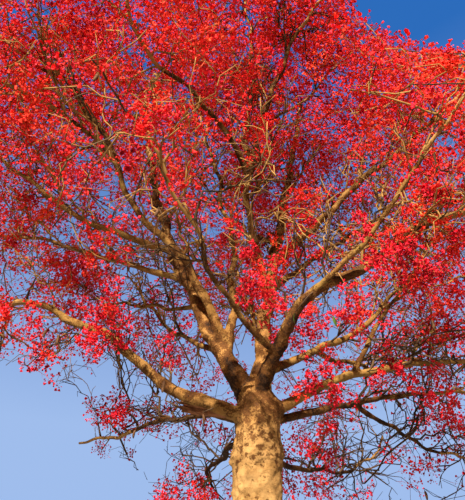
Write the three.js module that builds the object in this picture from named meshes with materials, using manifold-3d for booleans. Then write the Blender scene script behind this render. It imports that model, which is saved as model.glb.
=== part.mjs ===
// A flame tree in full blossom and nearly leafless: one trunk, its boughs, a dead stub, and
// the masses of blossoming twigs that the boughs carry. Millimetres, +Z up. The origin is the
// centre of the flat cut under the trunk. Azimuth 0 points along +X and 90 along +Y, and a
// rise of 90 is straight up.

import * as THREE from 'three';
import { mergeVertices } from 'three/addons/utils/BufferGeometryUtils.js';
import Module from 'manifold-3d';

const wasm = await Module();
wasm.setup();

// Trunk, from the cut at ground level to the fork.
const forkHeight = 3040;
const domeHeight = 140;         // rounded top from which the leaders rise
const trunkRadius = 147;
const trunkTaper = 16;          // growth in radius from the fork down to the root flare
const trunkLean = 0.045;        // sideways travel towards +X for each unit of height
const flareRadius = 112;        // what the root flare adds at the ground
const flareHeight = 280;        // height over which the flare dies away
const flareRibs = 5;
const collarSwell = 10;         // swelling under the fork
const collarHeight = 2770;
const collarReach = 160;
const trunkSides = 20;
const trunkSteps = 12;
const domeSteps = 3;

// Limbs.
const seatGap = 0.3;
const limbSides = 7;
const limbStep = 420;           // longest straight stretch along a limb
const limbTaper = 0.8;          // below 1 a limb thins faster near its root
const rootSwell = 0.3;          // how much thicker a limb is where it leaves its parent
const rootReach = 230;

// Twigs and sprays of blossom.
const stemSides = 4;
const twigSides = 3;
const twigRadius = 11;
const twigTipRadius = 6;
const twigTaper = 0.85;         // radius of a twig against what it grows from
const turnCost = 0.5;           // how far a twig prefers to run on rather than turn back
const freePlaces = [0.3, 0.55]; // where along a twig later twigs may grow
const stemPlaces = [0.05, 0.35, 0.65];
const firstPlaces = [0.4, 0.7]; // on the first stretch of a stem, clear of the bough's tip
const sprayLength = 300;
const sprayWidth = 150;
const bellyAt = 0.45;           // where along its length a spray is widest
const sprayDroop = 0.55;        // how far a side spray hangs from the way it leaves its twig
const sideSprayAt = 0.7;        // place of the side spray along its twig
const sprayShares = [0.1, 0.25, bellyAt, 0.65, 0.85, 1];
const sprayGap = 1.2;           // least distance between two sprays, in widths of a spray

// Spaces of the masses.
const aimSpacing = 470;         // least distance between the aims of two twigs
const aimTrials = 12;
const aimsPerMass = 9;          // for a mass of the middle size
const middleSpread = 900;
const limbClearance = 6;
const sampleStep = 50;          // between the points of a twig that are tested for clearance
const borderClearance = 8;      // from a mass's twigs and sprays to the border of its space
const shortestEdgeKept = 0.003; // a mass with a finer sliver than this is drawn again

// The crown: no spray reaches beyond this rounded outline.
const crownCentre = new THREE.Vector3(60, 330, 5450);
const crownSide = 3150;
const crownDepth = 2750;
const crownTop = 3000;
const crownUnder = 2900;
const crownUnderPower = 8;      // the underside is flatter than the top
const crownFloor = 2780;        // height of the lowest sprays

// Each limb leaves its parent at a fraction of the parent's length, or at a height on the
// trunk. Its headings are spaced evenly along its whole length, and girth is its diameter at
// root and tip. As a bough it ends where it enters its mass, at a fraction of that length, and
// the rest is the stem of the mass. spread is the radius of the mass's space.
const limbs = {
  centre_leader: { from: 'trunk', at: 3000, azimuth: [78, 44, 26], rise: [70, 76, 80], length: 4850,
    girth: [164, 36], enters: 0.76, spread: 1150 },
  left_leader: { from: 'trunk', at: 3000, azimuth: [170, 156, 140, 148], rise: [62, 68, 78, 78],
    length: 4650, girth: [168, 34], enters: 0.66, spread: 1200 },
  front_leader: { from: 'trunk', at: 3000, azimuth: [276, 336, 366, 368], rise: [50, 24, 32, 40],
    length: 3050, girth: [106, 24], enters: 0.58, spread: 1100 },
  left_low: { from: 'trunk', at: 2950, azimuth: [196, 178, 154, 158], rise: [10, 42, 16, 10],
    length: 3150, girth: [96, 28], enters: 0.62, spread: 1000 },
  right_low: { from: 'trunk', at: 2950, azimuth: [2, 24, 20], rise: [34, 12, 38], length: 2950,
    girth: [76, 22], enters: 0.6, spread: 1000 },
  right_bottom: { from: 'trunk', at: 2920, azimuth: [30, 32, 28], rise: [24, 18, 8], length: 3050,
    girth: [62, 22], enters: 0.62, spread: 900 },
  left_far: { from: 'trunk', at: 2920, azimuth: [138, 128, 134], rise: [28, 6, 12], length: 2500,
    girth: [56, 22], enters: 0.62, spread: 850 },
  back_left: { from: 'trunk', at: 2850, azimuth: [112, 98, 94], rise: [12, 6, 16], length: 2600,
    girth: [52, 22], enters: 0.6, spread: 950 },
  back_right: { from: 'trunk', at: 2760, azimuth: [64, 56, 56], rise: [6, 16, 40], length: 2950,
    girth: [44, 20], enters: 0.62, spread: 1000 },
  left_upright: { from: 'left_leader', at: 0.1, azimuth: [20, 176, 140], rise: [82, 80, 78],
    length: 3500, girth: [74, 26], enters: 0.62, spread: 1050 },
  left_front: { from: 'left_leader', at: 0.12, azimuth: [234, 202, 224, 206, 204],
    rise: [74, 40, 52, 0, 30], length: 3300, girth: [80, 24], enters: 0.68, spread: 950 },
  left_mid: { from: 'left_leader', at: 0.37, azimuth: [200, 190, 184], rise: [0, 40, 48],
    length: 2650, girth: [66, 22], enters: 0.58, spread: 1050 },
  left_side: { from: 'left_leader', at: 0.28, azimuth: [172, 164, 160], rise: [22, 30, 4],
    length: 2600, girth: [56, 22], enters: 0.6, spread: 1000 },
  left_inner: { from: 'left_leader', at: 0.12, azimuth: [126, 122, 120], rise: [30, 46, 50],
    length: 2850, girth: [46, 22], enters: 0.56, spread: 1050 },
  left_front_rise: { from: 'left_front', at: 0.5, azimuth: [226, 204, 232], rise: [64, 20, 76],
    length: 2250, girth: [46, 20], enters: 0.56, spread: 1050 },
  centre_upright: { from: 'centre_leader', at: 0.25, azimuth: [226, 294, 234], rise: [66, 80, 82],
    length: 3950, girth: [76, 26], enters: 0.68, spread: 1050 },
  upper_right: { from: 'centre_leader', at: 0.34, azimuth: [326, 336, 330], rise: [32, 32, 58],
    length: 3300, girth: [82, 24], enters: 0.6, spread: 1100 },
  inner_right: { from: 'centre_leader', at: 0.27, azimuth: [38, 32, 30], rise: [48, 44, 48],
    length: 3400, girth: [62, 24], enters: 0.56, spread: 1100 },
  back_middle: { from: 'centre_leader', at: 0.16, azimuth: [96, 86, 92], rise: [30, 44, 40],
    length: 3000, girth: [60, 22], enters: 0.58, spread: 1100 },
  back_top: { from: 'centre_leader', at: 0.42, azimuth: [120, 104, 110], rise: [40, 52, 66],
    length: 2700, girth: [62, 22], enters: 0.54, spread: 1150 },
  top_right: { from: 'centre_leader', at: 0.7, azimuth: [4, 346, 340], rise: [70, 30, 60],
    length: 2150, girth: [58, 22], enters: 0.5, spread: 1050 },
  upper_left: { from: 'centre_upright', at: 0.29, azimuth: [242, 220, 290], rise: [40, 0, 50],
    length: 2250, girth: [62, 22], enters: 0.56, spread: 1050 },
  centre_top: { from: 'centre_upright', at: 0.31, azimuth: [294, 314, 330], rise: [62, 54, 10],
    length: 2650, girth: [62, 22], enters: 0.56, spread: 1100 },
  front_cross: { from: 'front_leader', at: 0.14, azimuth: [220, 242, 226], rise: [18, 38, 40],
    length: 1650, girth: [46, 18], enters: 0.52, spread: 850 },
  right_fork: { from: 'front_leader', at: 0.26, azimuth: [322, 314, 322], rise: [22, 42, 34],
    length: 2150, girth: [42, 18], enters: 0.54, spread: 1000 },
  right_mid: { from: 'front_leader', at: 0.1, azimuth: [22, 24, 26], rise: [26, 48, 56],
    length: 2900, girth: [58, 22], enters: 0.56, spread: 1000 },
  right_mid_low: { from: 'right_mid', at: 0.15, azimuth: [56, 42, 42], rise: [8, 26, 30],
    length: 2450, girth: [40, 20], enters: 0.56, spread: 950 },
  right_droop: { from: 'right_bottom', at: 0.3, azimuth: [48, 44, 36], rise: [-4, 0, 14],
    length: 2100, girth: [40, 20], enters: 0.6, spread: 850 },
};

// The dead stub, torn off jagged, where the low left limb leaves the trunk.
const stub = { from: 'left_low', at: 0.06, azimuth: [172, 164], rise: [2, 12], length: 360,
  girth: [58, 44], enters: 1 };
const stubTear = 46;

const barkLook = { color: 0xb58a55, roughness: 0.85, metalness: 0 };
const blossomLook = { color: 0xd3202a, roughness: 0.6, metalness: 0 };
const deadWoodLook = { color: 0x4a2a1c, roughness: 0.95, metalness: 0 };

const up = new THREE.Vector3(0, 0, 1);

// A repeatable stream of numbers from 0 to 1.
function seededNumbers(seed) {
  const modulus = 2147483647;
  let state = seed * 7919 + 17;
  return () => {
    state = (state * 16807) % modulus;
    return state / modulus;
  };
}

function direction(azimuth, rise) {
  const a = THREE.MathUtils.degToRad(azimuth);
  const r = THREE.MathUtils.degToRad(rise);
  return new THREE.Vector3(Math.cos(r) * Math.cos(a), Math.cos(r) * Math.sin(a), Math.sin(r));
}

// The value at a fraction of the way along evenly spaced values.
function between(values, fraction) {
  const place = fraction * (values.length - 1);
  const index = Math.min(Math.floor(place), values.length - 2);
  return THREE.MathUtils.lerp(values[index], values[index + 1], place - index);
}

function limbRadius(limb, t) {
  const radius = THREE.MathUtils.lerp(limb.girth[0], limb.girth[1], t ** limbTaper) / 2;
  return radius * (1 + rootSwell * Math.exp((-t * limb.length) / rootReach));
}

// Points, directions and radii along a limb between two fractions of its length, worked out
// from its headings.
function limbPath(limb, start, from, to) {
  const length = limb.length * (to - from);
  const steps = Math.max(3, Math.ceil(length / limbStep));
  const parts = 8;
  const heading = (t) => direction(between(limb.azimuth, t), between(limb.rise, t));
  const place = (share) => THREE.MathUtils.lerp(from, to, share);
  const point = start.clone();
  const path = [{ point: point.clone(), dir: heading(from), radius: limbRadius(limb, from) }];
  for (let step = 1; step <= steps; step += 1) {
    for (let part = 0.5; part < parts; part += 1) {
      const t = place((step - 1 + part / parts) / steps);
      point.addScaledVector(heading(t), length / steps / parts);
    }
    const t = place(step / steps);
    path.push({ point: point.clone(), dir: heading(t), radius: limbRadius(limb, t) });
  }
  return path;
}

function pathPoint(path, fraction) {
  const place = fraction * (path.length - 1);
  const index = Math.min(Math.floor(place), path.length - 2);
  return path[index].point.clone().lerp(path[index + 1].point, place - index);
}

// A closed skin over rings of the same number of points, with a fan at the foot and at the tip.
function skinGeometry(rings, foot, tip) {
  const sides = rings[0].length;
  const index = [];
  const last = (rings.length - 1) * sides;
  const footIndex = last + sides;
  for (let k = 0; k < sides; k += 1) {
    const next = (k + 1) % sides;
    for (let a = 0; a < last; a += sides) {
      const b = a + sides;
      index.push(a + k, a + next, b + next, a + k, b + next, b + k);
    }
    index.push(footIndex, next, k, footIndex + 1, last + k, last + next);
  }
  const geometry = new THREE.BufferGeometry().setFromPoints([...rings.flat(), foot, tip]);
  geometry.setIndex(index);
  return geometry;
}

// A tapered tube along a path. A last radius of 0 draws it to a point, and tear makes the rim
// of its end jagged.
function tubeGeometry(path, sides, grow = 0, tear = 0) {
  const end = path[path.length - 1];
  const ringed = end.radius === 0 ? path.slice(0, -1) : path;
  const side = new THREE.Vector3().crossVectors(up, path[0].dir);
  if (side.length() < 0.1) side.set(1, 0, 0);
  const rings = ringed.map(({ point, dir, radius }, step) => {
    side.addScaledVector(dir, -side.dot(dir)).normalize();
    const other = new THREE.Vector3().crossVectors(dir, side);
    return Array.from({ length: sides }, (_, k) => {
      const angle = (2 * Math.PI * k) / sides;
      const torn = step === path.length - 1 ? tear * (k % 2 ? 1 : -0.4) : 0;
      return point.clone()
        .addScaledVector(side, (radius + grow) * Math.cos(angle))
        .addScaledVector(other, (radius + grow) * Math.sin(angle))
        .addScaledVector(dir, torn);
    });
  });
  const tip = end.point.clone().addScaledVector(end.dir, -tear * 0.6);
  return skinGeometry(rings, path[0].point, tip);
}

function trunkCentre(z) {
  return new THREE.Vector3(trunkLean * z, 0, z);
}

function trunkGirth(z, angle) {
  const taper = trunkTaper * (1 - z / forkHeight);
  const ribs = 0.7 + 0.25 * Math.cos(flareRibs * angle + 0.8) + 0.1 * Math.cos(2 * angle);
  const flare = flareRadius * Math.exp(-z / flareHeight) * ribs;
  const collar = collarSwell * Math.exp(-(((z - collarHeight) / collarReach) ** 2));
  return trunkRadius + taper + flare + collar;
}

// The trunk, closer in its rings towards the flare, and rounded off above the fork.
function trunkGeometry(grow = 0) {
  const levels = [];
  for (let step = 0; step <= trunkSteps; step += 1) {
    levels.push({ z: forkHeight * (step / trunkSteps) ** 1.5, shrink: 1, lift: 0 });
  }
  for (let step = 1; step <= domeSteps; step += 1) {
    const turn = (step / (domeSteps + 0.4)) * (Math.PI / 2);
    levels.push({ z: forkHeight + domeHeight * Math.sin(turn), shrink: Math.cos(turn), lift: grow });
  }
  const rings = levels.map(({ z, shrink, lift }) => {
    const centre = trunkCentre(z);
    return Array.from({ length: trunkSides }, (_, k) => {
      const angle = (2 * Math.PI * k) / trunkSides;
      const radius = trunkGirth(Math.min(z, forkHeight), angle) * shrink + grow;
      return new THREE.Vector3(centre.x + radius * Math.cos(angle), radius * Math.sin(angle), z + lift);
    });
  });
  const top = trunkCentre(forkHeight + domeHeight);
  top.z += grow;
  return skinGeometry(rings, new THREE.Vector3(), top);
}

function solid(geometry) {
  const merged = mergeVertices(geometry, 1e-3);
  return new wasm.Manifold(new wasm.Mesh({
    numProp: 3,
    vertProperties: new Float32Array(merged.attributes.position.array),
    triVerts: new Uint32Array(merged.index.array),
  }));
}

// The largest body of a solid: hollows sealed by a join and loose scraps are left out.
function largestBody(body) {
  return body.decompose().reduce((best, next) => (next.volume() > best.volume() ? next : best));
}

function toGeometry(body) {
  const mesh = body.getMesh();
  const geometry = new THREE.BufferGeometry();
  geometry.setAttribute('position', new THREE.Float32BufferAttribute(mesh.vertProperties, mesh.numProp));
  geometry.setIndex(new THREE.Uint32BufferAttribute(mesh.triVerts, 1));
  geometry.computeVertexNormals();
  return geometry;
}

function shortestEdge(body) {
  const { index, attributes } = toGeometry(body);
  const corner = (k) => new THREE.Vector3().fromBufferAttribute(attributes.position, index.getX(k));
  let least = Infinity;
  for (let k = 0; k < index.count; k += 1) {
    const next = k % 3 === 2 ? k - 2 : k + 1;
    least = Math.min(least, corner(k).distanceTo(corner(next)));
  }
  return least;
}

// Distance from a point to the surface of a limb's path.
function distanceToLimb(point, path) {
  const line = new THREE.Line3();
  const near = new THREE.Vector3();
  let least = Infinity;
  for (let k = 0; k < path.length - 1; k += 1) {
    line.set(path[k].point, path[k + 1].point);
    const t = line.closestPointToPointParameter(point, true);
    const radius = THREE.MathUtils.lerp(path[k].radius, path[k + 1].radius, t);
    least = Math.min(least, line.at(t, near).distanceTo(point) - radius);
  }
  return least;
}

function insideCrown(point) {
  const above = point.z > crownCentre.z;
  const x = (point.x - crownCentre.x) / crownSide;
  const y = (point.y - crownCentre.y) / crownDepth;
  const z = Math.abs(point.z - crownCentre.z) / (above ? crownTop : crownUnder);
  return point.z > crownFloor && x * x + y * y + z ** (above ? 2 : crownUnderPower) < 1;
}

// The space of one mass: a ball round its stem, cut by the crown's outline and by the planes
// halfway to the other masses. The result tells whether points lie in it by a margin.
function spaceOf(own, others) {
  const planes = others.map((other) => {
    const normal = new THREE.Vector3().subVectors(other.centre, own.centre).normalize();
    const middle = own.centre.clone().lerp(other.centre, 0.5);
    return new THREE.Plane().setFromNormalAndCoplanarPoint(normal, middle);
  });
  return (points, margin = 0) => points.every((point) => (
    point.distanceTo(own.centre) < own.spread - margin && insideCrown(point)
    && planes.every((plane) => plane.distanceToPoint(point) < -borderClearance - margin)));
}

function pointsAlong(a, b) {
  const count = Math.ceil(a.distanceTo(b) / sampleStep);
  return Array.from({ length: count + 1 }, (_, k) => a.clone().lerp(b, k / count));
}

// A spray of blossom on the side of a twig: eight faces between its root, sunk in the twig,
// its tip and four sides.
function sideSpray(root, dir, turn) {
  const hang = dir.clone().addScaledVector(up, -sprayDroop).normalize();
  const side = new THREE.Vector3().crossVectors(up, hang).normalize().applyAxisAngle(hang, turn);
  const other = new THREE.Vector3().crossVectors(hang, side);
  const belly = root.clone().addScaledVector(hang, sprayLength * bellyAt);
  const tip = root.clone().addScaledVector(hang, sprayLength);
  const sides = [side, other, side.clone().negate(), other.clone().negate()];
  const points = sides.map((way) => belly.clone().addScaledVector(way, sprayWidth / 2));
  const index = [];
  for (let k = 0; k < 4; k += 1) {
    const next = (k + 1) % 4;
    index.push(4, next, k, 5, k, next);
  }
  const geometry = new THREE.BufferGeometry().setFromPoints([...points, root, tip]);
  geometry.setIndex(index);
  return { geometry, root, belly, tip, points: [...points, tip] };
}

// A twig that swells at its end to the spray that it carries.
function sprayedTwig(root, aim, radius) {
  const dir = aim.clone().sub(root).normalize();
  const neck = aim.clone().addScaledVector(dir, -sprayLength * bellyAt);
  const tip = aim.clone().addScaledVector(dir, sprayLength * (1 - bellyAt));
  const path = [
    { point: root, dir, radius },
    { point: neck, dir, radius: twigTipRadius },
    { point: aim, dir, radius: sprayWidth / 2 },
    { point: tip, dir, radius: 0 },
  ];
  return { geometry: tubeGeometry(path, twigSides), dir, neck, tip };
}

// Aims spread evenly through a space: each is the best of several draws.
function evenAims(own, inside, count, random) {
  const aims = [];
  for (let turn = 0; turn < count * 8 && aims.length < count; turn += 1) {
    let best = null;
    for (let trial = 0; trial < aimTrials; trial += 1) {
      const aim = new THREE.Vector3(random() * 2 - 1, random() * 2 - 1, random() * 2 - 1);
      aim.multiplyScalar(own.spread).add(own.centre);
      const gap = aims.reduce((least, other) => Math.min(least, other.distanceTo(aim)), Infinity);
      const fits = gap > aimSpacing && inside([aim], sprayWidth / 2);
      if (fits && (!best || gap > best.gap)) best = { aim, gap };
    }
    if (best) aims.push(best.aim);
  }
  return aims;
}

// A mass grows from its stem by one rule: aims are spread evenly through its space, and each
// in turn is reached by a twig from the nearest free place on the stem or on an earlier twig.
// Each twig ends in a spray and hangs another on its side. A twig or spray that would leave
// the space or touch a limb is skipped.
function growMass(limb, boughTip, own, inside, obstacles, seed) {
  const random = seededNumbers(seed);
  const root = boughTip.point.clone().addScaledVector(boughTip.dir, seatGap);
  const clear = (points, radius) => points.every((point) => (
    obstacles.every((path) => distanceToLimb(point, path) > radius + limbClearance)));
  const sprayClear = (start, end) => sprayShares.every((share) => {
    const girth = Math.min(share / bellyAt, (1 - share) / (1 - bellyAt));
    return clear([start.clone().lerp(end, share)], (sprayWidth / 2) * girth);
  });

  const [first, ...rest] = limbPath(limb, root, limb.enters, 1);
  const stem = [first];
  const places = [];
  for (const next of rest) {
    const before = stem[stem.length - 1];
    const atRoot = before === first;
    const stretch = pointsAlong(before.point, next.point).slice(1);
    if (!atRoot && !(inside(stretch) && clear(stretch, next.radius))) break;
    stem.push(next);
    for (const share of atRoot ? firstPlaces : stemPlaces) {
      const point = before.point.clone().lerp(next.point, share);
      places.push({ point, dir: next.dir, radius: next.radius });
    }
  }
  places.push(stem[stem.length - 1]);

  const pieces = [tubeGeometry(stem, stemSides)];
  const bellies = [];
  const apart = (point) => bellies.every((other) => (
    other.distanceTo(point) > sprayWidth * sprayGap));
  const count = Math.round(aimsPerMass * (own.spread / middleSpread) ** 2);
  const aims = evenAims(own, inside, count, random);
  aims.sort((a, b) => a.distanceTo(root) - b.distanceTo(root));

  for (const aim of aims) {
    const cost = ({ point, dir }) => {
      const way = aim.clone().sub(point);
      return way.length() * (1 + turnCost * (1 - way.clone().normalize().dot(dir)));
    };
    const fits = ({ point }) => {
      if (aim.distanceTo(point) < sprayLength * bellyAt * 1.4) return false;
      const twig = sprayedTwig(point, aim, twigRadius);
      const line = pointsAlong(point, aim);
      return apart(aim) && inside([...line.slice(1), twig.tip]) && clear(line, twigRadius)
        && sprayClear(twig.neck, twig.tip);
    };
    const place = places.sort((a, b) => cost(a) - cost(b)).slice(0, 6).find(fits);
    if (!place) continue;

    const radius = Math.min(place.radius * twigTaper, twigRadius);
    const twig = sprayedTwig(place.point, aim, radius);
    pieces.push(twig.geometry);
    bellies.push(aim);
    places.splice(places.indexOf(place), 1);
    for (const share of freePlaces) {
      const point = place.point.clone().lerp(twig.neck, share);
      places.push({ point, dir: twig.dir, radius: radius * twigTaper });
    }

    const turn = random() * 2 * Math.PI;
    const aside = new THREE.Vector3().crossVectors(twig.dir, up).normalize();
    aside.applyAxisAngle(twig.dir, turn).addScaledVector(twig.dir, 0.6).normalize();
    const hung = sideSpray(place.point.clone().lerp(twig.neck, sideSprayAt), aside, turn);
    if (apart(hung.belly) && inside(hung.points) && sprayClear(hung.root, hung.tip)) {
      pieces.push(hung.geometry);
      bellies.push(hung.belly);
    }
  }
  return largestBody(wasm.Manifold.union(pieces.map(solid)));
}

const tree = new THREE.Group();

function addNode(name, body, look) {
  const mesh = new THREE.Mesh(toGeometry(body), new THREE.MeshStandardMaterial(look));
  mesh.name = name;
  tree.add(mesh);
}

// The trunk, and each limb cut clear of everything that was there before it.
addNode('trunk', solid(trunkGeometry()), barkLook);
const boughs = {};
const taken = [solid(trunkGeometry(seatGap))];

function addLimb(name, limb, look, tear = 0) {
  const start = limb.from === 'trunk'
    ? trunkCentre(limb.at)
    : pathPoint(boughs[limb.from], limb.at / limbs[limb.from].enters);
  const path = limbPath(limb, start, 0, limb.enters);
  const whole = solid(tubeGeometry(path, limbSides, 0, tear));
  addNode(name, largestBody(taken.reduce((body, earlier) => body.subtract(earlier), whole)), look);
  boughs[name] = path;
  taken.push(solid(tubeGeometry(path, limbSides, seatGap, tear)));
}

for (const [name, limb] of Object.entries(limbs)) addLimb(name, limb, barkLook);
addLimb('broken_stub', stub, deadWoodLook, stubTear);

// The masses: one round the stem that runs on from each bough.
const stems = {};
const spaces = {};
for (const [name, limb] of Object.entries(limbs)) {
  const boughTip = boughs[name][boughs[name].length - 1];
  stems[name] = limbPath(limb, boughTip.point, limb.enters, 1);
  const centre = pathPoint(stems[name], 0.6);
  centre.z += limb.spread * 0.1;
  spaces[name] = { centre, spread: limb.spread };
}
const trunkPath = [0, 0.3, 0.6, 0.8, 1].map((share) => {
  const z = share * (forkHeight + domeHeight);
  return { point: trunkCentre(z), radius: trunkGirth(Math.min(z, forkHeight), 0) };
});

let seed = 0;
for (const [name, limb] of Object.entries(limbs)) {
  const boughTip = boughs[name][boughs[name].length - 1];
  const isOther = ([key]) => key !== name;
  const others = Object.entries(spaces).filter(isOther).map(([, space]) => space);
  const otherStems = Object.entries(stems).filter(isOther).map(([, stem]) => stem);
  const inside = spaceOf(spaces[name], others);
  const obstacles = [trunkPath, ...Object.values(boughs), ...otherStems];
  let body;
  do {
    seed += 1;
    body = growMass(limb, boughTip, spaces[name], inside, obstacles, seed);
  } while (shortestEdge(body) < shortestEdgeKept);
  addNode(`${name}_blossom`, body, blossomLook);
}

export default tree;
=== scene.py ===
import math

import bmesh
import bpy
import numpy as np
from mathutils import Matrix, Vector


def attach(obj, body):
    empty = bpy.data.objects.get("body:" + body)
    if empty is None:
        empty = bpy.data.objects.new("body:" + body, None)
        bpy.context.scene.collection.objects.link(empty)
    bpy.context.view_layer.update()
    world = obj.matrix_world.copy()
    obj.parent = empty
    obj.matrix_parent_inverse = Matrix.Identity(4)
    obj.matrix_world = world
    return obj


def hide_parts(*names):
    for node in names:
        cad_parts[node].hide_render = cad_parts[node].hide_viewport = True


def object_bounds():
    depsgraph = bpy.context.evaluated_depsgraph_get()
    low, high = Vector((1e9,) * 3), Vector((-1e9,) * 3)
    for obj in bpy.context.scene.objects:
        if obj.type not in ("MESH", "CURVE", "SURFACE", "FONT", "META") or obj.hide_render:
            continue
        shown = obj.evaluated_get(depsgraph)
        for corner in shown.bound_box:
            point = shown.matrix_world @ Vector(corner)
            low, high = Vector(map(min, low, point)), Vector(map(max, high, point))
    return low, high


# A flame tree in full blossom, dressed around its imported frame. Metres, +Z up, trunk at the origin.
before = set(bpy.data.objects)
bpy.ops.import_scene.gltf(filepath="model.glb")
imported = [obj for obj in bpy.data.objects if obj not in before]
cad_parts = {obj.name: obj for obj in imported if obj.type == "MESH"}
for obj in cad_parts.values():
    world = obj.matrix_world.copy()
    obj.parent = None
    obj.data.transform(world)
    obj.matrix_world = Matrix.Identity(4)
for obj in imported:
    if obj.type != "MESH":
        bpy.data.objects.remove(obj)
cadLow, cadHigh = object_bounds()
scene = bpy.context.scene
print("frame loaded:", len(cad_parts), "nodes")

# Camera, and the point and direction from which the tree was judged.
photoView = {
    "eye": (-0.03, -3.30, 1.60),
    "tilt": 40.0,          # degrees above level, looking along +Y
    "focus": 536.0,        # focal length in pixels of the frame
    "frame": (465, 500),
    "sensor": 36.0,
    "clip": (0.05, 200.0),
}
viewTilt = math.radians(photoView["tilt"])
viewForward = np.array([0.0, math.cos(viewTilt), math.sin(viewTilt)])
viewUpward = np.array([0.0, -math.sin(viewTilt), math.cos(viewTilt)])


def makeCamera():
    data = bpy.data.cameras.new("photoCamera")
    data.sensor_width = photoView["sensor"]
    data.lens = photoView["sensor"] * photoView["focus"] / max(photoView["frame"])
    data.clip_start, data.clip_end = photoView["clip"]
    camera = bpy.data.objects.new("photoCamera", data)
    camera.location = photoView["eye"]
    camera.rotation_euler = (math.radians(90.0 + photoView["tilt"]), 0.0, 0.0)
    scene.collection.objects.link(camera)
    scene.camera = camera


def pixelsOf(points):
    # Where points fall in the camera's frame, and how far in front of it they are.
    away = np.atleast_2d(points) - np.array(photoView["eye"])
    depth = away @ viewForward
    scale = photoView["focus"] / np.maximum(depth, 1e-3)
    width, height = photoView["frame"]
    return width / 2 + away[:, 0] * scale, height / 2 - (away @ viewUpward) * scale, depth


def pointAtPixel(x, y, depth):
    width, height = photoView["frame"]
    across = (x - width / 2) / photoView["focus"] * depth
    upwards = (height / 2 - y) / photoView["focus"] * depth
    place = np.array(photoView["eye"]) + depth * viewForward + upwards * viewUpward
    place[0] += across
    return place


makeCamera()


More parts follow.
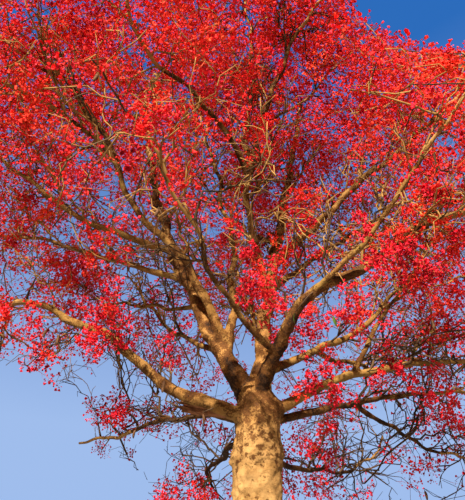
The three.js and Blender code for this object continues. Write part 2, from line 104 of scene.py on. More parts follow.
# Limbs, each with the values that limbKeys names below. A limb leaves its source at a share of its
# length, or at a height on the trunk. Headings are spaced evenly along the limb, in degrees: azimuth
# 90 is +Y, and a rise of 90 is up. girth is the diameter at root and tip, enters the share where its
# mass of blossom begins, and spread the radius of that mass. bloom is how thickly it flowers. The
# last two end in twigs alone.
limbRows = {
    "centre_leader": ("trunk", 3.0, (78, 44, 26), (70, 76, 80), 4.85, (0.164, 0.036), 0.76, 1.15, 1.0),
    "left_leader": ("trunk", 3.0, (170, 156, 140, 148), (62, 68, 78, 78),
        4.65, (0.168, 0.034), 0.66, 1.2, 1.0),
    "front_leader": ("trunk", 3.0, (276, 336, 366, 368), (50, 24, 32, 40),
        3.05, (0.106, 0.024), 0.58, 1.1, 1.3),
    "left_low": ("trunk", 2.95, (196, 178, 154, 158), (10, 42, 16, 10),
        3.15, (0.096, 0.028), 0.62, 1.0, 0.9),
    "right_low": ("trunk", 2.95, (2, 24, 20), (34, 12, 38), 2.95, (0.076, 0.022), 0.6, 1.0, 0.9),
    "right_bottom": ("trunk", 2.92, (30, 32, 28), (24, 18, 8), 3.05, (0.062, 0.022), 0.62, 0.9, 1.0),
    "left_far": ("trunk", 2.92, (138, 128, 134), (28, 6, 12), 2.5, (0.056, 0.022), 0.62, 0.85, 1.1),
    "back_left": ("trunk", 2.85, (112, 98, 94), (12, 6, 16), 2.6, (0.052, 0.022), 0.6, 0.95, 1.2),
    "back_right": ("trunk", 2.76, (64, 56, 56), (6, 16, 40), 2.95, (0.044, 0.02), 0.62, 1.0, 1.2),
    "left_upright": ("left_leader", 0.1, (20, 176, 140), (82, 80, 78),
        3.5, (0.074, 0.026), 0.62, 1.05, 1.0),
    "left_front": ("left_leader", 0.12, (234, 202, 224, 206, 204), (74, 40, 52, 0, 30),
        3.3, (0.08, 0.024), 0.68, 0.95, 1.3),
    "left_mid": ("left_leader", 0.37, (200, 190, 184), (0, 40, 48), 2.65, (0.066, 0.022), 0.58, 1.05, 1.2),
    "left_side": ("left_leader", 0.28, (172, 164, 160), (22, 30, 4), 2.6, (0.056, 0.022), 0.6, 1.0, 0.9),
    "left_inner": ("left_leader", 0.12, (126, 122, 120), (30, 46, 50),
        2.85, (0.046, 0.022), 0.56, 1.05, 0.7),
    "left_front_rise": ("left_front", 0.5, (226, 204, 232), (64, 20, 76),
        2.25, (0.046, 0.02), 0.56, 1.05, 1.5),
    "centre_upright": ("centre_leader", 0.25, (226, 294, 234), (66, 80, 82),
        3.95, (0.076, 0.026), 0.68, 1.05, 1.5),
    "upper_right": ("centre_leader", 0.34, (326, 336, 330), (32, 32, 58),
        3.3, (0.082, 0.024), 0.6, 1.1, 1.3),
    "inner_right": ("centre_leader", 0.27, (38, 32, 30), (48, 44, 48), 3.4, (0.062, 0.024), 0.56, 1.1, 0.7),
    "back_middle": ("centre_leader", 0.16, (96, 86, 92), (30, 44, 40), 3.0, (0.06, 0.022), 0.58, 1.1, 0.7),
    "back_top": ("centre_leader", 0.42, (120, 104, 110), (40, 52, 66),
        2.7, (0.062, 0.022), 0.54, 1.15, 0.9),
    "top_right": ("centre_leader", 0.7, (4, 346, 340), (70, 30, 60), 2.15, (0.058, 0.022), 0.5, 1.05, 1.2),
    "upper_left": ("centre_upright", 0.29, (242, 220, 290), (40, 0, 50),
        2.25, (0.062, 0.022), 0.56, 1.05, 1.5),
    "centre_top": ("centre_upright", 0.31, (294, 314, 330), (62, 54, 10),
        2.65, (0.062, 0.022), 0.56, 1.1, 1.5),
    "front_cross": ("front_leader", 0.14, (220, 242, 226), (18, 38, 40),
        1.65, (0.046, 0.018), 0.52, 0.85, 1.2),
    "right_fork": ("front_leader", 0.26, (322, 314, 322), (22, 42, 34),
        2.15, (0.042, 0.018), 0.54, 1.0, 1.3),
    "right_mid": ("front_leader", 0.1, (22, 24, 26), (26, 48, 56), 2.9, (0.058, 0.022), 0.56, 1.0, 0.8),
    "right_mid_low": ("right_mid", 0.15, (56, 42, 42), (8, 26, 30), 2.45, (0.04, 0.02), 0.56, 0.95, 0.9),
    "right_droop": ("right_bottom", 0.3, (48, 44, 36), (-4, 0, 14), 2.1, (0.04, 0.02), 0.6, 0.85, 1.0),
    "left_back": ("left_leader", 0.21, (138, 138, 140), (20, 30, 26), 1.75, (0.036, 0.018), 1.0, 0, 0.9),
    "right_rise": ("right_low", 0.26, (6, 0, 0), (60, 54, 58), 1.53, (0.04, 0.018), 1.0, 0, 0.9),
}
limbKeys = ("source", "at", "azimuth", "rise", "length", "girth", "enters", "spread", "bloom")
limbs = {name: dict(zip(limbKeys, row)) for name, row in limbRows.items()}

limbShape = {
    "taper": 0.8,         # below 1 a limb thins faster near its root
    "rootSwell": 0.3,     # how much thicker it is where it leaves its parent
    "rootReach": 0.23,
    "step": 0.42,         # headings are summed over steps of at most this length
    "partsPerStep": 8,
    "wander": 0.015,      # how far a limb strays from its smooth course
    "waves": (0.9, 0.5, 0.3),
    "calm": 0.5,          # metres from its root over which it begins to stray
}


def direction(azimuth, rise):
    turned, raised = np.radians(azimuth), np.radians(rise)
    level = np.cos(raised)
    return np.stack([level * np.cos(turned), level * np.sin(turned), np.sin(raised)], axis=-1)


def between(values, shares):
    return np.interp(np.asarray(shares) * (len(values) - 1), range(len(values)), values)


def unit(vectors):
    vectors = np.asarray(vectors, float)
    return vectors / np.maximum(np.linalg.norm(vectors, axis=-1, keepdims=True), 1e-9)


def limbRadius(limb, shares):
    thick, thin = limb["girth"]
    radius = (thick + (thin - thick) * shares ** limbShape["taper"]) / 2
    return radius * (1 + limbShape["rootSwell"] * np.exp(-shares * limb["length"] / limbShape["rootReach"]))


def limbStretch(limb, start, fromShare, toShare):
    # The course of a limb between two shares of its length, summed from its headings.
    length = limb["length"] * (toShare - fromShare)
    parts = limbShape["partsPerStep"] * max(3, math.ceil(length / limbShape["step"]))
    middles = fromShare + (toShare - fromShare) * (np.arange(parts) + 0.5) / parts
    headings = direction(between(limb["azimuth"], middles), between(limb["rise"], middles))
    points = start + np.vstack([np.zeros(3), np.cumsum(headings * length / parts, axis=0)])
    return points, np.linspace(fromShare, toShare, parts + 1)


def wanderOf(limb, shares, seed):
    # A slight kinking, nothing at the root, as limbs have where twigs once left them.
    draw = np.random.default_rng(seed)
    along = shares * limb["length"]
    stray = np.zeros((len(shares), 3))
    for wave in limbShape["waves"]:
        phase = draw.uniform(0, 2 * math.pi, 3)
        stray += draw.normal(0, 1, 3) * wave * np.sin(2 * math.pi * along[:, None] / wave + phase)
    eased = np.clip(along / limbShape["calm"], 0, 1) ** 2
    return limbShape["wander"] * eased[:, None] * stray


def limbPath(limb, start, seed):
    points, shares = limbStretch(limb, start, 0.0, limb["enters"])
    if limb["enters"] < 1:
        stem, stemShares = limbStretch(limb, points[-1], limb["enters"], 1.0)
        points = np.vstack([points, stem[1:]])
        shares = np.concatenate([shares, stemShares[1:]])
    points = points + wanderOf(limb, shares, seed)
    return {"points": points, "shares": shares, "radii": limbRadius(limb, shares),
            "dirs": unit(np.gradient(points, axis=0))}


def placeAt(path, share):
    return np.array([np.interp(share, path["shares"], path["points"][:, axis]) for axis in range(3)])


seeds = {"limb": 40, "panicle": 70, "mass": 500, "pits": 17, "stub": 11, "cup": 3, "near": 21}


trunk = {
    "forkHeight": 3.04,
    "dome": 0.14,          # rounded top from which the leaders rise
    "domeTurns": (0.4, 0.8, 1.2, 1.45),
    "foot": 0.03,          # how far it starts below the cut
    "radius": 0.147,
    "taper": 0.016,        # growth in radius from the fork down to the flare
    "lean": 0.045,
    "flare": 0.112,
    "flareHeight": 0.28,
    "flareRibs": 5,
    "ribWave": (0.7, 0.25, 0.8, 0.1),      # evenness, depth and phase of the ribs, and an oval part
    "collar": 0.010,       # swelling under the fork
    "collarHeight": 2.77,
    "collarReach": 0.16,
    "sides": 64,
    "ringStep": 0.045,
}


def trunkCentre(z):
    return np.array([trunk["lean"] * z, 0.0, z])


def trunkGirth(z, angle):
    taper = trunk["taper"] * (1 - z / trunk["forkHeight"])
    even, deep, phase, oval = trunk["ribWave"]
    ribs = even + deep * np.cos(trunk["flareRibs"] * angle + phase) + oval * np.cos(2 * angle)
    flare = trunk["flare"] * math.exp(-z / trunk["flareHeight"]) * ribs
    collar = trunk["collar"] * math.exp(-(((z - trunk["collarHeight"]) / trunk["collarReach"]) ** 2))
    return trunk["radius"] + taper + flare + collar


paths = {}
for limbIndex, (limbName, limb) in enumerate(limbs.items()):
    fromTrunk = limb["source"] == "trunk"
    start = trunkCentre(limb["at"]) if fromTrunk else placeAt(paths[limb["source"]], limb["at"])
    paths[limbName] = limbPath(limb, start, seeds["limb"] + limbIndex)

# Every limb and the trunk as samples of place, heading and radius, for nearness and for bark.
sampling = {"limbStep": 0.012, "trunkStep": 0.02, "atOnce": 2000}


def sampleLimbs():
    places, dirs, radii, alongs, names = [], [], [], [], []
    for name, path in paths.items():
        count = int(limbs[name]["length"] / sampling["limbStep"])
        shares = np.linspace(0, 1, count)
        places.append(placeAt(path, shares).T)
        dirs.append(unit(np.gradient(places[-1], axis=0)))
        radii.append(np.interp(shares, path["shares"], path["radii"]))
        alongs.append(shares * limbs[name]["length"])
        names += [name] * count
    heights = np.arange(0, trunk["forkHeight"] + 0.05, sampling["trunkStep"])
    places.append(np.array([trunkCentre(z) for z in heights]))
    dirs.append(np.tile(unit([trunk["lean"], 0, 1]), (len(heights), 1)))
    radii.append(trunk["radius"] + trunk["taper"] * (1 - heights / trunk["forkHeight"]))
    alongs.append(heights)
    names += ["trunk"] * len(heights)
    return {"places": np.vstack(places), "dirs": np.vstack(dirs), "radii": np.concatenate(radii),
            "alongs": np.concatenate(alongs), "names": np.array(names)}


samples = sampleLimbs()


def nearestSample(points):
    # The sample whose bark lies nearest to each point, and the clearance from that bark.
    places = samples["places"].astype(np.float32)
    squares = (places ** 2).sum(1)
    best = np.zeros(len(points), int)
    clear = np.zeros(len(points))
    for first in range(0, len(points), sampling["atOnce"]):
        own = slice(first, first + sampling["atOnce"])
        part = points[own].astype(np.float32)
        gaps = (part ** 2).sum(1)[:, None] + squares - 2 * part @ places.T
        gaps = np.sqrt(np.maximum(gaps, 0)) - samples["radii"].astype(np.float32)
        best[own], clear[own] = gaps.argmin(1), gaps.min(1)
    return best, clear


# Meshes from arrays, for the many small things. A shape is its vertices and triangles, and a heap
# gathers shapes into one mesh, with a material for each.
def newHeap():
    return {"vertices": [], "triangles": [], "tints": [], "count": 0}


def addTo(heap, shape, tint=0):
    vertices, triangles = shape
    heap["vertices"].append(vertices)
    heap["triangles"].append(triangles + heap["count"])
    heap["tints"].append(np.broadcast_to(tint, len(triangles)))
    heap["count"] += len(vertices)


def stacked(heap):
    return np.vstack(heap["vertices"]), np.vstack(heap["triangles"])


def heapMesh(name, heap, smooth=False):
    vertices, triangles = stacked(heap)
    mesh = bpy.data.meshes.new(name)
    mesh.vertices.add(len(vertices))
    mesh.vertices.foreach_set("co", vertices.astype(np.float32).ravel())
    mesh.loops.add(triangles.size)
    mesh.loops.foreach_set("vertex_index", triangles.astype(np.int32).ravel())
    mesh.polygons.add(len(triangles))
    mesh.polygons.foreach_set("loop_start", np.arange(0, triangles.size, 3, dtype=np.int32))
    mesh.polygons.foreach_set("use_smooth", np.full(len(triangles), smooth))
    mesh.polygons.foreach_set("material_index", np.concatenate(heap["tints"]).astype(np.int32))
    mesh.update(calc_edges=True)
    return mesh


def addPiece(name, mesh, materials):
    piece = bpy.data.objects.new(name, mesh)
    scene.collection.objects.link(piece)
    for material in materials:
        mesh.materials.append(material)
    return piece


def meshPoints(mesh):
    values = np.zeros(len(mesh.vertices) * 3, np.float32)
    mesh.vertices.foreach_get("co", values)
    return values.reshape(-1, 3).astype(float)


def finished(bm, name):
    mesh = bpy.data.meshes.new(name)
    bm.to_mesh(mesh)
    bm.free()
    return mesh


def shapeOf(bm):
    # A small shape modelled in bmesh, to be repeated.
    bmesh.ops.triangulate(bm, faces=bm.faces[:])
    bm.verts.index_update()
    vertices = np.array([vertex.co for vertex in bm.verts])
    triangles = np.array([[corner.index for corner in face.verts] for face in bm.faces])
    bm.free()
    return vertices, triangles


def repeated(shape, turns, scales, places):
    # Copies of a shape as one. A scale is one number, or three for across, across and along.
    vertices, triangles = shape
    scales = np.reshape(np.asarray(scales, float), (len(places), 1, -1))
    moved = np.einsum("nij,vj->nvi", turns * scales, vertices) + places[:, None]
    stepped = triangles[None] + (np.arange(len(places)) * len(vertices))[:, None, None]
    return moved.reshape(-1, 3), stepped.reshape(-1, 3)


def turned(ways, draw):
    # Rotations that take +Z to each way, with a random roll.
    ways = unit(np.atleast_2d(ways))
    across = unit(np.cross(ways, np.where(np.abs(ways[:, 2:3]) < 0.9, [[0, 0, 1.0]], [[1.0, 0, 0]])))
    other = np.cross(ways, across)
    roll = draw.uniform(0, 2 * math.pi, (len(ways), 1))
    first = np.cos(roll) * across + np.sin(roll) * other
    return np.stack([first, np.cross(ways, first), ways], axis=-1)


def tube(points, radii, sides):
    # A closed tapering tube along points.
    reference = np.eye(3)[np.abs(unit(points[-1] - points[0])).argmin()]
    tangents = unit(np.gradient(points, axis=0))
    side = unit(np.cross(tangents, reference))
    other = np.cross(tangents, side)
    angles = 2 * math.pi * np.arange(sides) / sides
    rings = (points[:, None] + radii[:, None, None]
             * (np.cos(angles)[:, None] * side[:, None] + np.sin(angles)[:, None] * other[:, None]))
    last = (len(points) - 1) * sides
    ring, nextRing = np.arange(sides), (np.arange(sides) + 1) % sides
    starts = np.arange(0, last, sides)[:, None]
    first = np.stack([starts + ring, starts + nextRing, starts + sides + nextRing], axis=-1)
    second = np.stack([starts + ring, starts + sides + nextRing, starts + sides + ring], axis=-1)
    fan = np.array([[0, k + 1, k] for k in range(1, sides - 1)])
    triangles = [first.reshape(-1, 3), second.reshape(-1, 3), fan, fan[:, ::-1] + last]
    return rings.reshape(-1, 3), np.vstack(triangles)


# Bark: the trunk and boughs are modelled apart, grown together by a voxel remesh, smoothed at
# the forks and given relief.
barkShape = {
    "voxel": 0.0104,
    "limbRings": 4,          # quarter-circle steps round a limb's curve
    "overlap": 0.06,         # how far a bough runs on into its mass
    "smoothTurns": 10,
    "thinTurns": 2,
    "thickFrom": 0.030,      # radius above which a limb is smoothed fully
    "splitHeight": 3.75,     # the bark is two pieces, parted here
    "lump": 0.09,            # lumps against the limb's radius
    "lumpWave": 0.15,
    "ripple": 0.0026,        # fine relief
    "rippleWave": 0.034,
    "crease": 0.0030,        # rings of old growth round the limb
    "creaseWave": 0.055,
    "fold": 0.0060,          # how far the folds in the forks sink in
    "foldWave": 0.05,
    # how much painted shade the folds in the forks' hollows take
    "foldPaintedShade": 0.7,
    "fullAt": 0.08,          # radius from which relief is full
    "patches": (0.38, 0.40, 0.80),      # stained patches on the limbs, partly painted dappled shadow: middle, depth and most
    "patchWave": 0.10,
    "ringStain": 0.15,
    "slim": 0.006,           # how far the trunk's bark is drawn in, to leave room for its lumps
    "limbSlim": 0.10,        # the same for the limbs, against their radius
    "fillMost": 0.010,       # how far a smoothed limb goes back out at the most
    "fillUpTo": 0.06,        # radius up to which limbs do so
    "thinBark": (0.020, 0.045),    # radius up to which bark counts as thin, and over which that fades
}

# Knots and old branch scars: azimuth and height on the trunk, or share of a limb; size, and how
# far they stand out.
trunkKnots = (
    (187, 2.695, 0.034, 0.030), (204, 2.76, 0.050, 0.006), (352, 2.75, 0.052, 0.012),
    (338, 2.66, 0.036, 0.008), (224, 2.95, 0.060, 0.020), (305, 2.86, 0.040, 0.006),
    (352, 3.03, 0.060, 0.030), (20, 2.10, 0.050, 0.010), (140, 1.70, 0.060, 0.010),
    (250, 1.15, 0.055, 0.008), (80, 2.35, 0.060, 0.012), (250, 3.05, 0.070, 0.024),
)
knotDroop = -10.0      # the limbs' knots face a little down
limbKnots = (
    ("front_leader", 0.045, 350, 0.055, 0.024), ("front_leader", 0.085, 20, 0.044, 0.020),
    ("front_leader", 0.16, 60, 0.050, 0.026), ("left_leader", 0.03, 250, 0.080, 0.012),
    ("left_leader", 0.075, 250, 0.055, 0.016), ("left_leader", 0.15, 230, 0.050, 0.018),
    ("left_leader", 0.21, 300, 0.045, 0.016), ("left_leader", 0.33, 280, 0.040, 0.014),
    ("centre_leader", 0.04, 270, 0.085, 0.012), ("centre_leader", 0.10, 260, 0.050, 0.016),
    ("centre_leader", 0.20, 310, 0.045, 0.016), ("centre_leader", 0.45, 220, 0.036, 0.012),
    ("left_low", 0.09, 270, 0.044, 0.016), ("left_low", 0.19, 240, 0.036, 0.014),
    ("left_low", 0.31, 300, 0.030, 0.010), ("right_low", 0.13, 280, 0.030, 0.010),
    ("upper_right", 0.16, 260, 0.032, 0.012), ("upper_right", 0.34, 300, 0.028, 0.010),
    ("left_front", 0.24, 300, 0.032, 0.012), ("right_mid", 0.2, 250, 0.026, 0.010),
)
# Dark pits and flecks on the trunk: pixel of the photo, half width and half height in metres.
pitPixels = (
    (267.5, 439, 0.009, 0.006), (260, 446, 0.010, 0.007), (246, 444.5, 0.015, 0.006),
    (241, 450, 0.007, 0.010), (253, 457, 0.004, 0.003), (245.5, 455, 0.005, 0.004),
    (277.5, 454.5, 0.008, 0.005), (277, 463, 0.008, 0.010), (261, 453, 0.003, 0.003),
    (264.5, 477, 0.005, 0.004), (268.5, 477, 0.003, 0.004), (260.5, 475, 0.003, 0.002),
    (248, 471.5, 0.004, 0.002), (237, 462, 0.012, 0.010), (235.5, 469.5, 0.012, 0.017),
    (251, 433, 0.007, 0.008), (272, 448, 0.004, 0.005), (258, 422, 0.011, 0.004),
    (270, 417, 0.007, 0.005), (245, 488.5, 0.005, 0.002), (250, 488, 0.004, 0.002),
    (269, 491, 0.005, 0.002), (256, 462, 0.003, 0.004), (263, 467, 0.003, 0.002),
)
# Painted shade added to the stain: about the fork where the limbs part, and on the boughs high up. Painted
# light and shade on whole limbs, added to their stain: above 0 darker, below 0 paler.
forkAndAloftShade = {"stainAndShade": 0.38, "height": 3.17, "reach": 0.17, "aloft": 0.25, "from": 4.2, "over": 1.2}
# Above 0 is painted shade, below 0 painted light.
limbLightAndShade = {
    "front_leader": 0.30, "back_left": 0.90, "back_right": 0.60, "left_far": 0.25, "right_bottom": 0.20,
    "back_middle": 0.20, "left_inner": 0.20, "right_droop": 0.25, "left_mid": -0.5, "left_side": -0.5,
    "left_leader": 0.24, "right_low": -0.9, "left_low": -0.34, "upper_right": -0.25, "right_fork": -0.2,
    "right_mid": -0.2,
}
# Pits dealt round the trunk beside those: sizes, heights and azimuths.
backPits = {"count": 26, "size": (0.004, 0.013), "between": (0.5, 2.95), "azimuth": (-40, 220)}
# Eye-shaped scars of shed branches: azimuth, height, half width and half height. Creases: height
# and depth.
trunkEyes = ((254, 2.43, 0.050, 0.040), (284, 2.42, 0.040, 0.034), (290, 2.80, 0.036, 0.030),
             (236, 2.10, 0.060, 0.045), (320, 1.90, 0.055, 0.040), (60, 2.60, 0.050, 0.040))
trunkCreases = ((2.665, 0.007), (2.62, 0.004), (2.70, 0.003), (2.56, 0.002), (2.40, 0.004), (2.18, 0.003),
                (1.95, 0.004), (1.62, 0.003), (1.30, 0.004), (0.98, 0.003), (0.70, 0.004))


# How deep and how dark the trunk's marks are: ragged edges, pits, eyes, creases, and the band of painted
# shade under the fork.
markShape = {
    "ragged": {"depth": 0.3, "wave": 0.03},
    "pit": {"margin": 0.002, "sink": 0.5, "stainAndShade": 0.8, "spread": 0.9},
    "eye": {"rim": 0.16, "swell": 0.004, "reach": 0.7, "groove": 0.003, "stainAndShade": 0.55},
    "crease": {"sway": (0.008, 0.006), "width": 0.007, "sink": 0.6, "stainAndShade": 0.34, "wave": 0.09},
    "shadeBand": {"from": 2.60, "to": 3.12, "upper": 2.84, "ease": 0.12, "end": 0.08, "stainAndShade": 0.26,
             "streak": 0.22, "streakWave": 0.040, "most": 0.75},
}
mostStainAndShade = 1.2
waveSeeds = {"lump": 1, "fineLump": 2, "ripple": 3, "rings": 4, "streaks": 5, "folds": 6, "patches": 7,
             "creases": 9, "ragged": 21, "clusters": 31}
crossing = {"waves": 12, "lengths": (0.7, 1.5), "calm": 1.6}


def waves(points, wavelength, kind):
    # Smooth seeded relief, mostly within -1 to 1: sine waves that cross each other.
    draw = np.random.default_rng(waveSeeds[kind])
    total = np.zeros(len(points))
    for _ in range(crossing["waves"]):
        way = unit(draw.normal(0, 1, 3)) * 2 * math.pi / (wavelength * draw.uniform(*crossing["lengths"]))
        total += np.sin(points @ way + draw.uniform(0, 2 * math.pi))
    return total / math.sqrt(crossing["waves"] / 2) / crossing["calm"]


def placeRing(vertices, z, shrink=1.0):
    centre = trunkCentre(z)
    for vertex in vertices:
        angle = math.atan2(vertex.co.y, vertex.co.x - vertex.co.z * trunk["lean"])
        radius = trunkGirth(min(z, trunk["forkHeight"]), angle) * shrink
        vertex.co = (centre[0] + radius * math.cos(angle), radius * math.sin(angle), z)


def grownRing(bm, ring):
    # Extrudes a ring of edges, and returns the new vertices and edges.
    grown = bmesh.ops.extrude_edge_only(bm, edges=ring)["geom"]
    fresh = {item for item in grown if isinstance(item, bmesh.types.BMVert)}
    edges = [item for item in grown if isinstance(item, bmesh.types.BMEdge)
             and item.verts[0] in fresh and item.verts[1] in fresh]
    return fresh, edges


def modelTrunk(bm):
    # Rings extruded from below the cut up to the fork, then rounded off.
    made = bmesh.ops.create_circle(bm, cap_ends=True, segments=trunk["sides"], radius=1.0)["verts"]
    placeRing(made, 0.0)
    ring = list({edge for vertex in made for edge in vertex.link_edges})
    bmesh.ops.translate(bm, verts=made, vec=(0, 0, -trunk["foot"]))
    levels = [(z, 1.0) for z in np.arange(0, trunk["forkHeight"] + 0.01, trunk["ringStep"])]
    for turn in trunk["domeTurns"]:
        levels.append((trunk["forkHeight"] + trunk["dome"] * math.sin(turn), math.cos(turn)))
    for z, shrink in levels:
        fresh, ring = grownRing(bm, ring)
        placeRing(fresh, z, shrink)
    bmesh.ops.edgeloop_fill(bm, edges=ring)


def modelKnots(bm):
    knots = []
    for azimuth, height, size, out in trunkKnots:
        reach = trunkGirth(height, math.radians(azimuth)) + out - size
        knots.append((trunkCentre(height) + direction(azimuth, 0.0) * reach, size))
    for name, share, azimuth, size, out in limbKnots:
        radius = np.interp(share, paths[name]["shares"], paths[name]["radii"])
        reach = radius + out - size
        knots.append((placeAt(paths[name], share) + direction(azimuth, knotDroop) * reach, size))
    for place, size in knots:
        bmesh.ops.create_icosphere(bm, subdivisions=2, radius=size, matrix=Matrix.Translation(Vector(place)))


def limbCurves():
    # The boughs as round curves that taper, joined into one mesh.
    data = bpy.data.curves.new("boughCurves", "CURVE")
    data.dimensions = "3D"
    data.bevel_depth = 1.0
    data.bevel_resolution = barkShape["limbRings"]
    data.use_fill_caps = True
    for name, limb in limbs.items():
        end = min(1.0, limb["enters"] + barkShape["overlap"] / limb["length"])
        shares = np.append(paths[name]["shares"][paths[name]["shares"] < end], end)
        spline = data.splines.new("POLY")
        spline.points.add(len(shares) - 1)
        for point, share in zip(spline.points, shares):
            beyond = max(0.0, share - limb["enters"]) * limb["length"] / barkShape["overlap"]
            point.co = (*placeAt(paths[name], share), 1.0)
            point.radius = float(limbRadius(limb, share)) * (1 - 0.5 * beyond)
    return evaluatedMesh(bpy.data.objects.new("boughCurves", data))


def evaluatedMesh(holder):
    scene.collection.objects.link(holder)
    mesh = bpy.data.meshes.new_from_object(holder.evaluated_get(bpy.context.evaluated_depsgraph_get()))
    bpy.data.objects.remove(holder)
    return mesh


def growTogether():
    bm = bmesh.new()
    bm.from_mesh(limbCurves())
    modelTrunk(bm)
    modelKnots(bm)
    holder = bpy.data.objects.new("roughBark", finished(bm, "roughBark"))
    remesh = holder.modifiers.new("growTogether", "REMESH")
    remesh.mode = "VOXEL"
    remesh.voxel_size = barkShape["voxel"]
    return evaluatedMesh(holder)


def smoothedPoints(mesh, thickness):
    bm = bmesh.new()
    bm.from_mesh(mesh)
    thick = [vertex for vertex in bm.verts if thickness[vertex.index] > barkShape["thickFrom"]]
    for turn in range(barkShape["smoothTurns"]):
        some = bm.verts[:] if turn < barkShape["thinTurns"] else thick
        bmesh.ops.smooth_vert(bm, verts=some, factor=0.5, use_axis_x=True, use_axis_y=True,
                              use_axis_z=True)
    bm.to_mesh(mesh)
    bm.free()
    return meshPoints(mesh)


def fillBack(points, nearest):
    # Smoothing thins a slender limb: its bark goes back out to the limb's own radius.
    away = points - samples["places"][nearest]
    dirs = samples["dirs"][nearest]
    away -= (away * dirs).sum(1)[:, None] * dirs
    short = np.clip(samples["radii"][nearest] - np.linalg.norm(away, axis=1), 0, barkShape["fillMost"])
    short[samples["radii"][nearest] > barkShape["fillUpTo"]] = 0
    return points + unit(away) * short[:, None]


sightDepths = (2.6, 4.6, 0.004)      # where a line of sight meets the trunk: nearest, farthest, step


def onTrunkAt(x, y):
    # The azimuth and height where a pixel's line of sight meets the trunk.
    for depth in np.arange(*sightDepths):
        place = pointAtPixel(x, y, depth)
        away = place - trunkCentre(place[2])
        angle = math.atan2(away[1], away[0])
        if math.hypot(away[0], away[1]) < trunkGirth(place[2], angle):
            break
    return math.degrees(angle) % 360, place[2]


def trunkPits():
    # The pits given as pixels, and others dealt round the rest of the trunk.
    draw = np.random.default_rng(seeds["pits"])
    pits = [(*onTrunkAt(x, y), wide, tall) for x, y, wide, tall in pitPixels]
    for _ in range(backPits["count"]):
        wide = draw.uniform(*backPits["size"])
        azimuth, height = draw.uniform(*backPits["azimuth"]), draw.uniform(*backPits["between"])
        pits.append((azimuth, height, wide, wide * draw.uniform(0.5, 1)))
    return pits


def trunkMarks(points, onTrunk):
    # Dents and stains of the trunk's pits, scars and creases, and the painted shade of the streaked band
    # under the fork.
    azimuth = np.degrees(np.arctan2(points[:, 1], points[:, 0] - trunk["lean"] * points[:, 2])) % 360
    height = points[:, 2]
    around = trunk["radius"] * math.pi / 180
    edge, pit, eye, crease, shadeBand = markShape.values()
    ragged = 1 + edge["depth"] * waves(points, edge["wave"], "ragged")
    out, stainAndShade = np.zeros(len(points)), np.zeros(len(points))

    def gapTo(turn, level, wide, tall):
        aside = ((azimuth - turn + 180) % 360 - 180) * around
        return np.hypot(aside / wide, (height - level) / tall) * ragged

    for turn, level, wide, tall in trunkPits():
        gap = gapTo(turn, level, wide + pit["margin"], tall + pit["margin"])
        out -= pit["sink"] * tall * np.exp(-gap ** 2)
        stainAndShade += pit["stainAndShade"] * np.exp(-(gap * pit["spread"]) ** 2)
    for turn, level, wide, tall in trunkEyes:
        gap = gapTo(turn, level, wide, tall)
        rim = np.exp(-((gap - 1) / eye["rim"]) ** 2)
        out += eye["swell"] * np.exp(-(gap / eye["reach"]) ** 2) - eye["groove"] * rim
        stainAndShade += eye["stainAndShade"] * rim * (height > level)
    bearing = np.radians(azimuth)
    broad, fine = crease["sway"]
    broken = np.clip(0.5 + waves(points, crease["wave"], "creases"), 0, 1)
    for level, depth in trunkCreases:
        sway = broad * np.sin(bearing * 2 + level * 40) + fine * np.sin(bearing * 5)
        line = np.exp(-((height - level - sway) / crease["width"]) ** 2)
        out -= depth * crease["sink"] * line
        stainAndShade += crease["stainAndShade"] * line * broken
    # Painted shade of the boughs on the trunk under the fork, darker toward its top and broken into streaks.
    unrolled = np.stack([azimuth * around, azimuth * 0, height * 0.5], axis=1)
    streaks = waves(unrolled, shadeBand["streakWave"], "streaks")
    inShadeBand = np.clip((height - shadeBand["from"]) / shadeBand["ease"], 0, 1)
    inShadeBand = inShadeBand * np.clip((shadeBand["to"] - height) / shadeBand["end"], 0, 1)
    aloft = np.clip((height - shadeBand["upper"]) / shadeBand["ease"], 0, 1)
    dark = shadeBand["stainAndShade"] + shadeBand["stainAndShade"] * aloft + shadeBand["streak"] * streaks
    stainAndShade += inShadeBand * np.clip(dark, 0, shadeBand["most"])
    return out * onTrunk, np.clip(stainAndShade, 0, mostStainAndShade) * onTrunk


